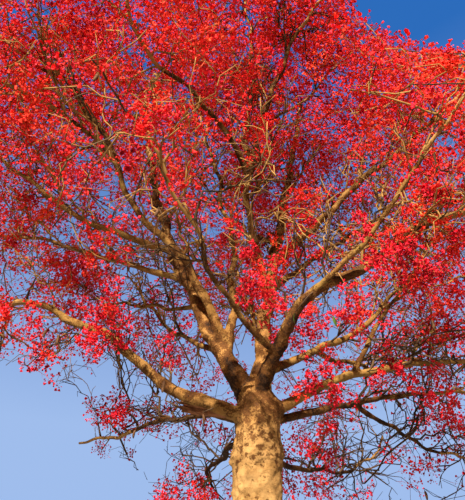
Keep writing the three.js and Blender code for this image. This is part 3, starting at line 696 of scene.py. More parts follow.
def reliefOf(points, nearest, hollow):
    # How far the bark stands out at each point, and how stained it is, with painted light and shade added to
    # the stain.
    radii = samples["radii"][nearest]
    along = samples["alongs"][nearest]
    thick = np.clip(radii / barkShape["fullAt"], 0.25, 1)
    lump = np.minimum(radii, barkShape["fullAt"])
    out = barkShape["lump"] * lump * waves(points, barkShape["lumpWave"], "lump")
    out += 0.5 * barkShape["lump"] * lump * waves(points, barkShape["lumpWave"] / 2.6, "fineLump")
    out += barkShape["ripple"] * thick * waves(points, barkShape["rippleWave"], "ripple")
    rings = waves(np.stack([along, along * 0.3, radii * 4], axis=1), barkShape["creaseWave"], "rings")
    out -= barkShape["crease"] * thick * np.clip(rings - 0.35, 0, 1)
    folds = hollow * np.clip(0.5 + waves(points * [1, 1, 2.2], barkShape["foldWave"], "folds"), 0, 1)
    out -= barkShape["fold"] * folds
    names = samples["names"][nearest]
    onTrunk = names == "trunk"
    trunkOut, stainAndShade = trunkMarks(points, onTrunk)
    out -= np.where(onTrunk, barkShape["slim"], barkShape["limbSlim"] * radii)
    middle, deep, most = barkShape["patches"]
    # Patches: real stains, and painted dappled shadow.
    patches = np.clip(middle + deep * waves(points, barkShape["patchWave"], "patches"), 0, most) * ~onTrunk
    # Painted light and shade on whole limbs.
    for name, more in limbLightAndShade.items():
        patches += more * (names == name)
    # Painted shade in the fork and, higher up, on the boughs.
    patches += forkAndAloftShade["stainAndShade"] * np.exp(-((points[:, 2] - forkAndAloftShade["height"]) / forkAndAloftShade["reach"]) ** 2)
    patches += forkAndAloftShade["aloft"] * np.clip((points[:, 2] - forkAndAloftShade["from"]) / forkAndAloftShade["over"], 0, 1)
    stainAndShade = stainAndShade + barkShape["foldPaintedShade"] * folds + patches + barkShape["ringStain"] * np.clip(rings, 0, 1)
    return out + trunkOut, np.clip(stainAndShade, 0, mostStainAndShade)


def cutBark(mesh, height, keepBelow):
    # One side of the bark at a height, closed over where it was cut.
    bm = bmesh.new()
    bm.from_mesh(mesh)
    bmesh.ops.bisect_plane(bm, geom=bm.verts[:] + bm.edges[:] + bm.faces[:], plane_co=(0, 0, height),
                           plane_no=(0, 0, 1), clear_outer=keepBelow, clear_inner=not keepBelow)
    rim = [edge for edge in bm.edges if edge.is_boundary]
    filled = bmesh.ops.holes_fill(bm, edges=rim, sides=0)["faces"]
    bmesh.ops.triangulate(bm, faces=filled)
    for edge in rim:
        edge.smooth = False
    return finished(bm, mesh.name)


def movePoints(mesh, points):
    mesh.vertices.foreach_set("co", points.astype(np.float32).ravel())
    mesh.update()
    normals = np.zeros(len(points) * 3, np.float32)
    mesh.vertex_normals.foreach_get("vector", normals)
    return normals.reshape(-1, 3)


def makeBark():
    mesh = growTogether()
    rough = meshPoints(mesh)
    nearest, _ = nearestSample(rough)
    smoothed = smoothedPoints(mesh, samples["radii"][nearest])
    points = fillBack(smoothed, nearest)
    normals = movePoints(mesh, points)
    # Hollows, where smoothing moved the bark out: folds sink there and are painted with shade.
    hollow = np.clip(((smoothed - rough) * normals).sum(1) / 0.006 - 0.15, 0, 1)
    out, stainAndShade = reliefOf(points, nearest, hollow)
    movePoints(mesh, points + normals * out[:, None])
    slender, growing = barkShape["thinBark"]
    thin = np.clip(1 - (samples["radii"][nearest] - slender) / growing, 0, 1)
    # The stain attribute holds real stains, and also painted light and shade.
    for name, values in (("thin", thin), ("stainAndShade", stainAndShade), ("along", samples["alongs"][nearest])):
        mesh.attributes.new(name, "FLOAT", "POINT").data.foreach_set("value", values.astype(np.float32))
    mesh.polygons.foreach_set("use_smooth", np.full(len(mesh.polygons), True))
    whole = cutBark(mesh, 0.0, keepBelow=False)
    return cutBark(whole, barkShape["splitHeight"], True), cutBark(whole, barkShape["splitHeight"], False)


# The dead stub, torn off jagged at the foot of the low left limb.
stub = {"at": 0.06, "azimuth": (172, 164), "rise": (6, 18), "length": 0.31,
        "girth": (0.064, 0.066), "sides": 34, "rings": 12, "tear": 0.055}


def makeStub():
    draw = np.random.default_rng(seeds["stub"])
    points, shares = limbStretch(stub, placeAt(paths["left_low"], stub["at"]), 0.0, 1.0)
    heading = unit(points[-1] - points[0])
    side = unit(np.cross([0, 0, 1], heading))
    other = np.cross(heading, side)
    bm = bmesh.new()
    made = bmesh.ops.create_circle(bm, cap_ends=True, segments=stub["sides"], radius=1.0)["verts"]
    ordered = sorted(made, key=lambda vertex: math.atan2(vertex.co.y, vertex.co.x))
    ring = list({edge for vertex in ordered for edge in vertex.link_edges})
    layers = np.round(1.4 * np.sin(np.arange(stub["sides"]) * 0.9) + draw.normal(0, 0.5, stub["sides"])) / 2
    splinters = layers + draw.uniform(-0.3, 0.3, stub["sides"])
    ridges = draw.uniform(0.78, 1.12, stub["sides"])

    def place(vertices, share, shrink=1.0, tear=0.0):
        centre = np.array([np.interp(share, shares, points[:, axis]) for axis in range(3)])
        radius = float(limbRadius(stub, share)) * shrink
        for turn, vertex in enumerate(vertices):
            angle = 2 * math.pi * turn / stub["sides"]
            reach = radius * (1 + (ridges[turn] - 1) * (0.4 + 1.2 * share))
            vertex.co = Vector(centre + reach * (math.cos(angle) * side + math.sin(angle) * other)
                               + heading * splinters[turn] * tear)

    place(ordered, 0.0)
    steps = [(share, 1.0, stub["tear"] * share ** 4) for share in np.linspace(0, 1, stub["rings"])[1:]]
    steps += [(1.0, 0.72, stub["tear"] * 0.7), (0.93, 0.5, stub["tear"] * 0.3), (0.86, 0.2, 0.0)]
    for share, shrink, tear in steps:
        before = {vertex: turn for turn, vertex in enumerate(ordered)}
        fresh, ring = grownRing(bm, ring)
        ordered = [None] * stub["sides"]
        for vertex in fresh:
            for edge in vertex.link_edges:
                if edge.other_vert(vertex) in before:
                    ordered[before[edge.other_vert(vertex)]] = vertex
        place(ordered, share, shrink, tear)
    bmesh.ops.edgeloop_fill(bm, edges=ring)
    bmesh.ops.recalc_face_normals(bm, faces=bm.faces[:])
    return finished(bm, "deadStub")


# Masses. Each grows from its limb's stem within its own space: a ball round the stem, cut by the
# crown's outline and by the planes halfway to the other masses.
crown = {
    "centre": (0.06, 0.33, 5.45),
    "side": 3.15,
    "depth": 2.75,
    "top": 3.0,
    "under": 2.9,
    "underPower": 8,
    "floor": 2.78,
    "border": 0.008,
    "margin": 0.07,         # how far from the frame's box the last twigs stay
}
growth = {
    "turnCost": 0.5,        # how far a twig prefers to run on rather than turn back
    "rounds": (             # each round fills the space more finely with twigs
        {"spacing": 0.50, "girth": 0.024, "tip": 0.011},
        {"spacing": 0.36, "girth": 0.014, "tip": 0.008},
        {"spacing": 0.265, "girth": 0.010, "tip": 0.006},
    ),
    "bend": 0.34,           # how long a twig keeps the way of what it grows from
    "lift": 0.10,           # how far it turns up on its way
    "kink": 0.021,
    "step": 0.10,
    "places": (0.3, 0.6, 0.85),
    "taper": 0.8,
    "trials": 110,          # how many aims are tried, against the spread and the spacing
    "hollow": 0.45,         # share of twigs kept deep inside the crown
    "tooNear": 0.08,        # a twig doesn't start nearer to its aim than this
    "mostCost": 1.6,        # aims that cost more are given up
    "clear": 0.008,         # how far twigs stay from the bark of the limbs
    "aimsInside": 0.03,     # how far aims stay inside their space
    "spurLength": (0.07, 0.20),
    "spurGirth": 0.0058,
}
shoots = {                  # side branches along the boughs
    "from": 0.62,           # metres from the bough's root
    "every": 0.11,
    "length": (0.25, 1.15),
    "girth": (0.011, 0.013),    # at the root: the least, and what a metre of length adds
    "twigs": (2, 7),        # the least, and what a metre of length adds
    "spread": 0.40,         # how far its twigs reach, against its length
}
fork = {"centre": (0.13, 0.0, 3.0), "reach": (3.1, 2.7, 5.0)}


def fromFork(points):
    # 0 at the fork and about 1 at the crown's outline.
    return np.linalg.norm((np.atleast_2d(points) - fork["centre"]) / fork["reach"], axis=1)


def withinBox(points, margin):
    low, high = np.array(cadLow) + margin, np.array(cadHigh) - margin
    return ((points > low) & (points < high)).all(axis=1)


def insideCrown(points):
    away = points - np.array(crown["centre"])
    above = away[:, 2] > 0
    tall = np.abs(away[:, 2]) / np.where(above, crown["top"], crown["under"])
    level = (away[:, 0] / crown["side"]) ** 2 + (away[:, 1] / crown["depth"]) ** 2
    rounded = level + tall ** np.where(above, 2, crown["underPower"]) < 1
    return withinBox(points, crown["margin"]) & rounded & (points[:, 2] > crown["floor"])


def outward(points):
    # 0 in the middle of the crown and 1 at its outline.
    away = (points - np.array(crown["centre"])) / [crown["side"], crown["depth"], crown["top"]]
    return np.clip(np.linalg.norm(away, axis=1), 0, 1)


def spaceOf(name):
    own = spaces[name]
    others = np.array([space["centre"] for other, space in spaces.items() if other != name])
    normals = unit(others - own["centre"])
    middles = (others + own["centre"]) / 2

    def inside(points, margin=0.0):
        points = np.atleast_2d(points)
        near = np.linalg.norm(points - own["centre"], axis=1) < own["spread"] - margin
        sides = ((points[:, None] - middles) * normals).sum(-1).max(axis=1) < -crown["border"] - margin
        return near & sides & insideCrown(points)

    return inside


spaces = {}
for limbName, limb in limbs.items():
    if limb["spread"]:
        centre = placeAt(paths[limbName], 0.4 * limb["enters"] + 0.6)
        spaces[limbName] = {"centre": centre + [0, 0, 0.1 * limb["spread"]], "spread": limb["spread"]}


# Openings through the crown: pixel of the photo, radius in pixels and how empty it is.
openings = (
    (20, 452, 76, 2.0), (0, 400, 26, 2.0), (101, 382, 18, 1.0), (110, 492, 34, 2.0), (78, 520, 66, 2.0),
    (378, -2, 26, 2.0), (404, 4, 32, 2.0), (440, 8, 44, 2.0), (468, 2, 48, 2.0), (450, 150, 18, 0.95),
    (148, 446, 16, 0.9), (168, 387, 18, 1.0), (182, 454, 24, 0.95), (150, 462, 20, 1.0), (212, 462, 12, 0.8),
    (46, 6, 14, 0.9), (118, 366, 16, 0.8), (75, 386, 13, 1.0), (136, 388, 12, 1.0), (6, 374, 17, 1.0),
    (73, 235, 16, 0.85), (12, 285, 14, 0.8), (108, 182, 14, 0.7), (295, 365, 10, 0.6), (205, 225, 12, 0.7),
    (350, 383, 15, 0.9), (140, 214, 13, 0.5), (386, 424, 28, 0.95), (354, 440, 20, 0.8), (420, 442, 20, 0.85),
    (360, 470, 20, 0.9), (430, 488, 18, 0.8), (318, 286, 15, 0.95), (332, 308, 16, 0.8), (168, 234, 13, 0.8),
    (198, 244, 13, 0.7), (142, 272, 14, 0.8), (170, 292, 10, 0.6), (210, 176, 10, 0.5), (352, 490, 14, 0.8),
    (395, 488, 22, 0.9), (450, 494, 20, 0.8), (385, 466, 14, 0.8), (68, 368, 12, 0.8),
)


def inOpening(points, draw, share=1.0):
    x, y, _ = pixelsOf(points)
    drop = np.zeros(len(points), bool)
    for left, top, radius, empty in openings:
        chance = 1.0 if empty >= 1.0 else empty * share
        drop |= (np.hypot(x - left, y - top) < radius) & (draw.random(len(points)) < chance)
    return drop


def endedAtOpening(points, radii):
    # A twig up to where it would stand out into an opening of emptiness 2.
    x, y, _ = pixelsOf(points)
    out = np.zeros(len(points), bool)
    for left, top, radius, empty in openings:
        if empty > 1:
            out |= np.hypot(x - left, y - top) < radius
    end = int(out.argmax()) if out.any() else len(points)
    return points[:end], radii[:end]


# Sprays that would hide a bough or a thick twig from the eye mostly stay away: pixels kept free
# beside it, and how many sprays stay away.
boughView = {"beside": 4.0, "radius": 0.012, "from": 3.0, "boughShare": 0.92, "twigShare": 0.72,
             "before": 0.06, "atOnce": 400}


def boughsSeen(twigs):
    # Pixels, depth, half width in pixels and share kept free, along all boughs and thick twigs.
    own = (samples["radii"] > boughView["radius"]) & (samples["places"][:, 2] > boughView["from"])
    places, radii = [samples["places"][own][::4]], [samples["radii"][own][::4]]
    shares = [np.full(len(radii[0]), boughView["boughShare"])]
    for points, girths in twigs:
        if girths[0] > thickTwig:
            places.append(points)
            radii.append(girths)
            shares.append(np.full(len(points), boughView["twigShare"]))
    x, y, depth = pixelsOf(np.vstack(places))
    wide = boughView["beside"] + np.concatenate(radii) * photoView["focus"] / np.maximum(depth, 1.0)
    width, height = photoView["frame"]
    inFrame = (x > 0) & (x < width) & (y > 0) & (y < height)
    return [values[inFrame] for values in (x, y, depth, wide, np.concatenate(shares))]


def beforeBoughs(points, seen, draw):
    boughX, boughY, boughDepth, wide, shares = seen
    x, y, depth = pixelsOf(points)
    hidden = np.zeros(len(points), bool)
    for first in range(0, len(points), boughView["atOnce"]):
        part = slice(first, first + boughView["atOnce"])
        gap = np.hypot(x[part, None] - boughX, y[part, None] - boughY)
        over = (gap < wide) & (depth[part, None] < boughDepth - boughView["before"])
        hidden[part] = draw.random(len(gap)) < (over * shares).max(axis=1)
    return hidden


def spreadAims(own, inside, spacing, draw):
    # Aims at least a spacing apart, spread evenly through the space.
    count = int(growth["trials"] * (own["spread"] / spacing) ** 3)
    trial = draw.uniform(-1, 1, (count, 3)) * own["spread"] + own["centre"]
    trial = trial[inside(trial, growth["aimsInside"])]
    keep = draw.random(len(trial)) < growth["hollow"] + (1 - growth["hollow"]) * outward(trial) ** 2
    trial = trial[keep & ~inOpening(trial, draw, 0.5)]
    aims = np.zeros((0, 3))
    for aim in trial:
        if not len(aims) or np.linalg.norm(aims - aim, axis=1).min() > spacing:
            aims = np.vstack([aims, aim])
    return aims


def twigCourse(root, way, aim, draw):
    # A twig leaves along the way of its parent, then bends up and over to its aim.
    length = np.linalg.norm(aim - root)
    count = max(3, int(length / growth["step"]) + 2)
    share = np.linspace(0, 1, count)[:, None]
    control = root + way * length * growth["bend"] + np.array([0, 0, growth["lift"] * length])
    course = (1 - share) ** 2 * root + 2 * share * (1 - share) * control + share ** 2 * aim
    course[1:-1] += draw.normal(0, growth["kink"] * min(1.0, length / 0.3), (count - 2, 3))
    return course


def clearOfLimbs(course):
    return len(course) < 3 or nearestSample(course[2:])[1].min() > growth["clear"]


def addSpur(twigs, tips, course, dirs, draw, allowed):
    spot = draw.integers(1, len(course))
    aside = unit(dirs[spot] * 0.5 + draw.normal(0, 0.6, 3) + [0, 0, 0.25])
    end = course[spot] + aside * draw.uniform(*growth["spurLength"])
    spur = twigCourse(course[spot], dirs[spot], end, draw)
    if allowed(spur).all():
        twigs.append((spur, np.linspace(growth["spurGirth"] / 2, growth["spurGirth"] / 3, len(spur))))
        tips.append((end, aside, 0.35))


def growMass(name, draw):
    # Aims are reached in turn from the nearest free place on the stem or on an earlier twig.
    path, own, inside = paths[name], spaces[name], spaceOf(name)
    onStem = path["shares"] >= limbs[name]["enters"]
    stem, stemRadii = path["points"][onStem], path["radii"][onStem]
    places, ways, girths = list(stem[1::2]), list(path["dirs"][onStem][1::2]), list(stemRadii[1::2])
    twigs, tips = [], [(stem[-1], path["dirs"][-1], 2.0)]
    for stage in growth["rounds"]:
        aims = spreadAims(own, inside, stage["spacing"], draw)
        for aim in aims[np.argsort(np.linalg.norm(aims - stem[0], axis=1))]:
            reach = aim - np.array(places)
            length = np.linalg.norm(reach, axis=1)
            facing = (reach * np.array(ways)).sum(1) / np.maximum(length, 1e-6)
            cost = length * (1 + growth["turnCost"] * (1 - facing))
            cost[length < growth["tooNear"]] = 9.0
            best = int(cost.argmin())
            course = twigCourse(places[best], ways[best], aim, draw)
            if cost[best] > growth["mostCost"] or not inside(course[1:]).all() or not clearOfLimbs(course):
                continue
            girth = min(girths[best] * growth["taper"], stage["girth"] / 2)
            radii = np.linspace(girth, min(girth, stage["tip"] / 2), len(course))
            dirs = unit(np.gradient(course, axis=0))
            twigs.append((course, radii))
            tips.append((aim, dirs[-1], 1.0))
            del places[best], ways[best], girths[best]
            for share in growth["places"]:
                spot = int(round(share * (len(course) - 1)))
                places.append(course[spot])
                ways.append(dirs[spot])
                girths.append(radii[spot])
            addSpur(twigs, tips, course, dirs, draw, inside)
    return (stem, stemRadii), twigs, tips


def growBunch(root, way, centre, reach, count, girth, draw):
    # One twig out to a centre, with twigs that fan out round it.
    course = twigCourse(root, way, centre, draw)
    dirs = unit(np.gradient(course, axis=0))
    if not insideCrown(course[1:]).all() or not clearOfLimbs(course):
        return [], []
    twigs = [(course, np.linspace(girth, girth * 0.5, len(course)) / 2)]
    tips = [(centre, dirs[-1], 1.0)]
    for turn in range(count):
        spot = draw.integers(max(1, len(course) // 3), len(course))
        aim = centre + unit(draw.normal(0, 1, 3) + [0, 0, 0.3]) * reach * draw.uniform(0.45, 1.0)
        side = twigCourse(course[spot], dirs[spot], aim, draw)
        if insideCrown(side).all() and clearOfLimbs(side):
            twigs.append((side, np.linspace(girth * 0.3, growth["spurGirth"] / 2.6, len(side))))
            sideDirs = unit(np.gradient(side, axis=0))
            tips.append((aim, sideDirs[-1], 1.0))
            addSpur(twigs, tips, side, sideDirs, draw, insideCrown)
    return twigs, tips


def growShoots(name, draw):
    limb, path = limbs[name], paths[name]
    twigs, tips = [], []
    along = shoots["from"]
    while along < limb["length"] * limb["enters"]:
        share = along / limb["length"]
        root = placeAt(path, share)
        way = path["dirs"][np.searchsorted(path["shares"], share)]
        aside = unit(way * 0.7 + draw.normal(0, 0.6, 3) + [0, 0, 0.35])
        least, most = shoots["length"]
        length = least + (most - least) * draw.random() ** 1.5
        centre = root + aside * length
        if not inOpening(centre[None], draw, 0.5)[0]:
            girth, count = (shoots[key][0] + shoots[key][1] * length for key in ("girth", "twigs"))
            girth = min(girth, 1.2 * float(limbRadius(limb, share)))
            made = growBunch(root, unit(way + aside), centre, shoots["spread"] * length, round(count),
                             girth, draw)
            twigs += made[0]
            tips += made[1]
        along += shoots["every"] * draw.uniform(0.6, 1.5)
    return twigs, tips


# Bunches that hang close before the limbs: pixel of the photo, radius in pixels, twigs, and how far
# in front of the limb they hang.
nearBunches = (
    (246, 280, 22, 8, 0.34), (268, 288, 20, 7, 0.28), (98, 258, 26, 17, 0.28), (112, 324, 17, 9, 0.2),
    (45, 205, 13, 7, 0.22), (10, 215, 16, 8, 0.22), (78, 288, 20, 10, 0.2), (440, 205, 22, 12, 0.26),
    (386, 258, 16, 7, 0.24), (388, 362, 15, 5, 0.14), (447, 334, 14, 5, 0.14), (288, 247, 9, 5, 0.16),
    (454, 238, 12, 6, 0.18), (335, 392, 9, 4, 0.12), (324, 450, 15, 4, 0.12), (10, 312, 14, 3, 0.14),
    (47, 360, 14, 3, 0.14), (30, 120, 18, 8, 0.25), (190, 60, 20, 9, 0.25), (262, 130, 16, 8, 0.2),
    (262, 88, 16, 8, 0.2), (292, 158, 15, 7, 0.2), (232, 236, 13, 6, 0.2), (306, 212, 14, 6, 0.2),
    (10, 242, 13, 6, 0.2), (416, 286, 17, 8, 0.2), (446, 300, 15, 6, 0.2), (170, 358, 18, 6, -0.4),
    (322, 318, 16, 4, -0.4), (294, 336, 14, 5, -0.4), (138, 318, 14, 4, -0.3), (132, 408, 13, 3, -0.2),
    (60, 262, 18, 7, 0.2), (256, 150, 18, 7, 0.3), (150, 108, 18, 8, 0.25), (392, 222, 15, 4, 0.2),
    (416, 262, 13, 5, 0.2), (106, 340, 14, 6, 0.2), (432, 392, 18, 5, 0.14), (452, 412, 14, 3, 0.14),
    (320, 364, 13, 3, 0.15), (294, 388, 10, 3, 0.1), (350, 298, 10, 4, 0.15), (318, 236, 11, 4, 0.2),
    (180, 484, 20, 7, 0.05), (205, 488, 12, 3, 0.05), (322, 62, 14, 6, 0.2), (450, 62, 12, 6, 0.2),
)
podPixels = ((48, 328), (60, 333), (88, 225), (146, 95), (136, 428), (165, 378), (203, 412))
leafPixels = ((92, 161), (333, 315), (295, 312), (410, 349))


# What a bunch may hang from, within so many pixels of it, and how the odd pod or leaf hangs.
nearHang = {"within": 30.0, "beyond": 5, "from": 2.9, "girth": 0.012, "topAbove": 140, "oddRadius": 4,
            "oddAhead": 0.06}


def growNear(x, y, radius, count, ahead, draw):
    # From the limb nearest the eye about a pixel, to a place in front of it at that pixel.
    sampleX, sampleY, depths = pixelsOf(samples["places"])
    far = np.hypot(sampleX - x, sampleY - y)
    close = far < max(nearHang["within"], far.min() + nearHang["beyond"])
    close &= samples["places"][:, 2] > nearHang["from"]
    index = np.flatnonzero(close)[depths[close].argmin()]
    depth = depths[index] - ahead
    centre = pointAtPixel(x, y, depth)
    reach = radius * depth / photoView["focus"]
    way = unit(samples["dirs"][index] + unit(centre - samples["places"][index]))
    return growBunch(samples["places"][index], way, centre, reach, count, nearHang["girth"], draw)


# Blossom: bells on panicles. Most are plain five-cornered cups and some open wide with lobes.
bell = {"length": 0.019, "mouth": 0.023, "neck": 0.0075, "neckAt": 0.62, "sides": 5, "ruffle": 0.004}
bud = {"length": 0.0155, "width": 0.0135}
panicleKinds = (           # how many of each kind, with the flower of its bells
    {"count": 2, "flower": "bell", "branchlets": 8, "bellsEach": 2, "buds": 12, "length": 0.15,
     "reach": 0.065},
    {"count": 6, "flower": "cup", "branchlets": 8, "bellsEach": 1, "buds": 23, "length": 0.18,
     "reach": 0.090},
    {"count": 4, "flower": "cup", "branchlets": 5, "bellsEach": 1, "buds": 8, "length": 0.15,
     "reach": 0.068},
)
panicle = {
    "stalk": 0.0030,
    "thickness": (0.6, 0.36),      # of the axis and of the branchlets, against the stalk
    "lengths": (0.85, 1.15),
    "roots": (0.12, 0.86),         # share of the axis at the first branchlet, and from it to the last
    "turn": 2.4,
    "openings": (0.6, 1.4),
    "reaches": (1.15, 0.7, 0.6, 1.25),      # at the axis's root, its fall from there, and two random ends
    "step": 0.42,                  # how far down its branchlet each further bell sits
    "bellSizes": (0.75, 1.2),
    "budSizes": (0.7, 1.2),
    "budPlaces": (0.35, 1.05),     # along the branchlet
    "droop": 0.35,
    "clear": 0.03,                 # how far ends, pods and leaves stay from bark
    "middleAndEnd": (0.09, 0.19),      # where they are, in metres from its root
}


def newCone(sides, low, high, length):
    # A cone standing on the origin, open at its wide end.
    bm = bmesh.new()
    bmesh.ops.create_cone(bm, cap_ends=False, segments=sides, radius1=low, radius2=high, depth=length)
    bmesh.ops.remove_doubles(bm, verts=bm.verts[:], dist=1e-6)
    bmesh.ops.translate(bm, verts=bm.verts[:], vec=(0, 0, length / 2))
    return bm


def modelCup():
    draw = np.random.default_rng(seeds["cup"])
    bm = newCone(bell["sides"], 0.0, bell["mouth"] / 2, bell["length"])
    for vertex in bm.verts:
        if vertex.is_boundary:
            vertex.co.z += draw.uniform(-bell["ruffle"], bell["ruffle"])
    return shapeOf(bm)


def modelBell():
    bm = newCone(bell["sides"], 0.0, bell["neck"], bell["length"] * bell["neckAt"])
    bmesh.ops.subdivide_edges(bm, edges=[edge for edge in bm.edges if edge.is_boundary], cuts=1)
    rim = [vertex for vertex in bm.verts if vertex.is_boundary]
    lobes = [vertex for vertex in rim if vertex.co.xy.length < bell["neck"] * 0.95]
    bmesh.ops.connect_verts(bm, verts=[vertex for vertex in rim if vertex not in lobes])
    for vertex in lobes:
        aside = Vector((vertex.co.x, vertex.co.y, 0)).normalized()
        vertex.co = aside * bell["mouth"] / 2 + Vector((0, 0, bell["length"]))
    return shapeOf(bm)


def modelSpike(radius, length):
    # A three-sided spike that stands on the origin, for a stalk or a half-open bud.
    return shapeOf(newCone(3, radius, 0.0, length))


pod = {"deep": 0.018, "wide": 0.015, "long": 0.052, "bow": 0.012, "drop": 0.075, "stalk": 0.04}
leaf = {"wide": 0.013, "long": 0.09, "fold": 0.35, "droop": 0.02}


def modelPod():
    # A boat-shaped pod that hangs by its stalk from the origin, drawn in along its belly.
    bm = bmesh.new()
    bmesh.ops.create_uvsphere(bm, u_segments=10, v_segments=8, radius=1.0)
    for vertex in bm.verts:
        x, y, along = vertex.co
        belly = 1 - 0.35 * max(0.0, x) * (1 - along ** 2)
        x = x * pod["deep"] * belly + pod["bow"] * (1 - along ** 2)
        vertex.co = (x, y * pod["wide"], along * pod["long"] - pod["drop"])
    stalk = bmesh.ops.create_cone(bm, cap_ends=True, segments=4, radius1=0.003, radius2=0.0022,
                                  depth=pod["stalk"])["verts"]
    bmesh.ops.translate(bm, verts=stalk, vec=(0, 0, -0.012))
    return shapeOf(bm)


def modelLeaf():
    # A lance-shaped leaf along +Z, folded a little along its rib.
    bm = bmesh.new()
    made = bmesh.ops.create_grid(bm, x_segments=2, y_segments=5, size=1.0)["verts"]
    for vertex in made:
        along = (vertex.co.y + 1) / 2
        wide = leaf["wide"] * math.sin(math.pi * min(1.0, along * 0.94 + 0.06)) ** 0.7
        bend = leaf["fold"] * abs(vertex.co.x) * wide - leaf["droop"] * along ** 2
        vertex.co = (vertex.co.x * wide, bend, 0.01 + along * leaf["long"])
    bmesh.ops.remove_doubles(bm, verts=bm.verts[:], dist=1e-4)
    return shapeOf(bm)


def makePanicle(kind, seed, shapes):
    # An axis with branchlets wound round it, bells and buds along them.
    draw = np.random.default_rng(seed)
    length = kind["length"] * draw.uniform(*panicle["lengths"])
    count, up = kind["branchlets"], np.array([[0, 0, 1.0]])
    lowest, span = panicle["roots"]
    at = lowest + span * np.arange(count) / (count - 1)
    turn = np.arange(count) * panicle["turn"] + draw.uniform(-0.5, 0.5, count)
    opening = draw.uniform(*panicle["openings"], count)
    ways = np.stack([np.cos(turn) * np.sin(opening), np.sin(turn) * np.sin(opening), np.cos(opening)],
                    axis=1)
    roots = up * (at * length)[:, None]
    longest, fall, least, most = panicle["reaches"]
    reach = kind["reach"] * (longest - fall * at) * draw.uniform(least, most, count)
    stalks, flowers = newHeap(), newHeap()
    axis, branchlet = panicle["thickness"]
    thick = panicle["stalk"] * np.array([axis] + [branchlet] * count)
    spikes = np.stack([thick, thick, np.append(length, reach)], axis=1)
    turns = turned(np.vstack([up, ways]), draw)
    addTo(stalks, repeated(shapes["spike"], turns, spikes, np.vstack([0 * up, roots])))
    for bloom in range(kind["bellsEach"]):
        ends = roots + ways * (reach * (1 - panicle["step"] * bloom))[:, None]
        ends = ends + draw.normal(0, 0.004, (count, 3))
        turns = turned(ways + draw.normal(0, 0.7, (count, 3)), draw)
        sizes = draw.uniform(*panicle["bellSizes"], count)
        addTo(flowers, repeated(shapes[kind["flower"]], turns, sizes, ends))
    budWays = draw.normal(0, 0.8, (kind["buds"], 3)) + up
    host = np.arange(kind["buds"]) % count
    out = reach[host] * draw.uniform(*panicle["budPlaces"], kind["buds"])
    budPlaces = roots[host] + ways[host] * out[:, None]
    budPlaces += draw.normal(0, 0.006, (kind["buds"], 3)) + unit(budWays) * bud["length"]
    turns = turned(-budWays, draw)
    sizes = draw.uniform(*panicle["budSizes"], kind["buds"])
    addTo(flowers, repeated(shapes["bud"], turns, sizes, budPlaces))
    return stacked(flowers), stacked(stalks)


# Tints are dealt out by spray. Low down, the low shares deal deeper tints: painted shade under the crown.
petalTints = {
    "scarlet": {"colour": (0.96, 0.029, 0.032), "share": 0.40, "lowShare": 0.16},
    "flame": {"colour": (0.97, 0.050, 0.027), "share": 0.25, "lowShare": 0.05},
    "crimson": {"colour": (0.88, 0.022, 0.050), "share": 0.22, "lowShare": 0.41},
    "orangeRed": {"colour": (0.96, 0.075, 0.026), "share": 0.07, "lowShare": 0.0},
    "deepRed": {"colour": (0.50, 0.008, 0.022), "share": 0.06, "lowShare": 0.38},
}
shadedTintsBelow = 3.7      # height below which the petals take the deeper tints of the low shares, painted shade

# How thickly it blooms: most near the crown's outline and high up.
bloomShape = {
    "bare": 0.35,          # distance from the fork, of the crown's reach, within which little blooms
    "full": 0.84,
    "least": 0.18,
    "low": 2.9,            # heights between which bloom grows from its low share to full
    "high": 4.6,
    "lowShare": 0.60,
    "clump": 1.1,          # how far low bloom gathers in clusters, and how far apart they are
    "clumpWave": 0.55,
    "second": (0.35, 0.52),    # chance of a second panicle at a twig's end, low down and high up
    "fullKind": 0.85,      # chance of a full panicle in full bloom
    "aloft": 0.15,         # how much larger panicles are for each metre above five
}


def bloomBetween(values, low, high, least):
    # From the least up to 1, as the values grow from one of bloomShape's limits to another.
    low, high = bloomShape[low], bloomShape[high]
    return between((least, 1), np.clip((values - low) / (high - low), 0, 1))


def seatPanicles(tips, bloom, isNear, seen, draw):
    # Where panicles sit, at the ends of twigs, and of which kind they are.
    places, ways, sizes, kinds = [], [], [], []
    spots = np.array([place for place, _, _ in tips])
    ripe = bloomBetween(fromFork(spots), "bare", "full", bloomShape["least"])
    tall = bloomBetween(spots[:, 2], "low", "high", bloomShape["lowShare"])
    clusters = np.clip(0.5 + bloomShape["clump"] * waves(spots, bloomShape["clumpWave"], "clusters"), 0, 1.6)
    tall *= between((1, 0), tall) * clusters + between((0, 1), tall)
    for (place, way, chance), lush, lofty in zip(tips, ripe, tall):
        for turn in range(2):
            more = float(between(bloomShape["second"], lofty)) if turn else 1.0
            if draw.random() > bloom * chance * more * (1 if isNear else lush):
                continue
            hang = np.array([0, 0, panicle["droop"] * draw.random()])
            ways.append(unit(np.array(way) * 0.7 + draw.normal(0, 0.5, 3) - hang))
            places.append(place - ways[-1] * 0.01)
            sizes.append(draw.uniform(0.8, 1.2) * (1 + bloomShape["aloft"] * max(0.0, place[2] - 5.0)))
            full = draw.random() < bloomShape["fullKind"] * lofty ** 2 * bloom
            kinds.append(0 if isNear else 1 if full else 2)
    if not places:
        return np.zeros((0, 3)), np.zeros((0, 3)), np.zeros(0), np.zeros(0, int)
    places, ways, sizes, kinds = np.array(places), np.array(ways), np.array(sizes), np.array(kinds)
    middles, ends = (places + ways * (sizes * reach)[:, None] for reach in panicle["middleAndEnd"])
    keep = ~inOpening(ends, draw) & withinBox(ends, 0.0)
    keep &= nearestSample(ends)[1] > panicle["clear"]
    if not isNear:
        keep &= ~beforeBoughs(middles, seen, draw)
    return places[keep], ways[keep], sizes[keep], kinds[keep]


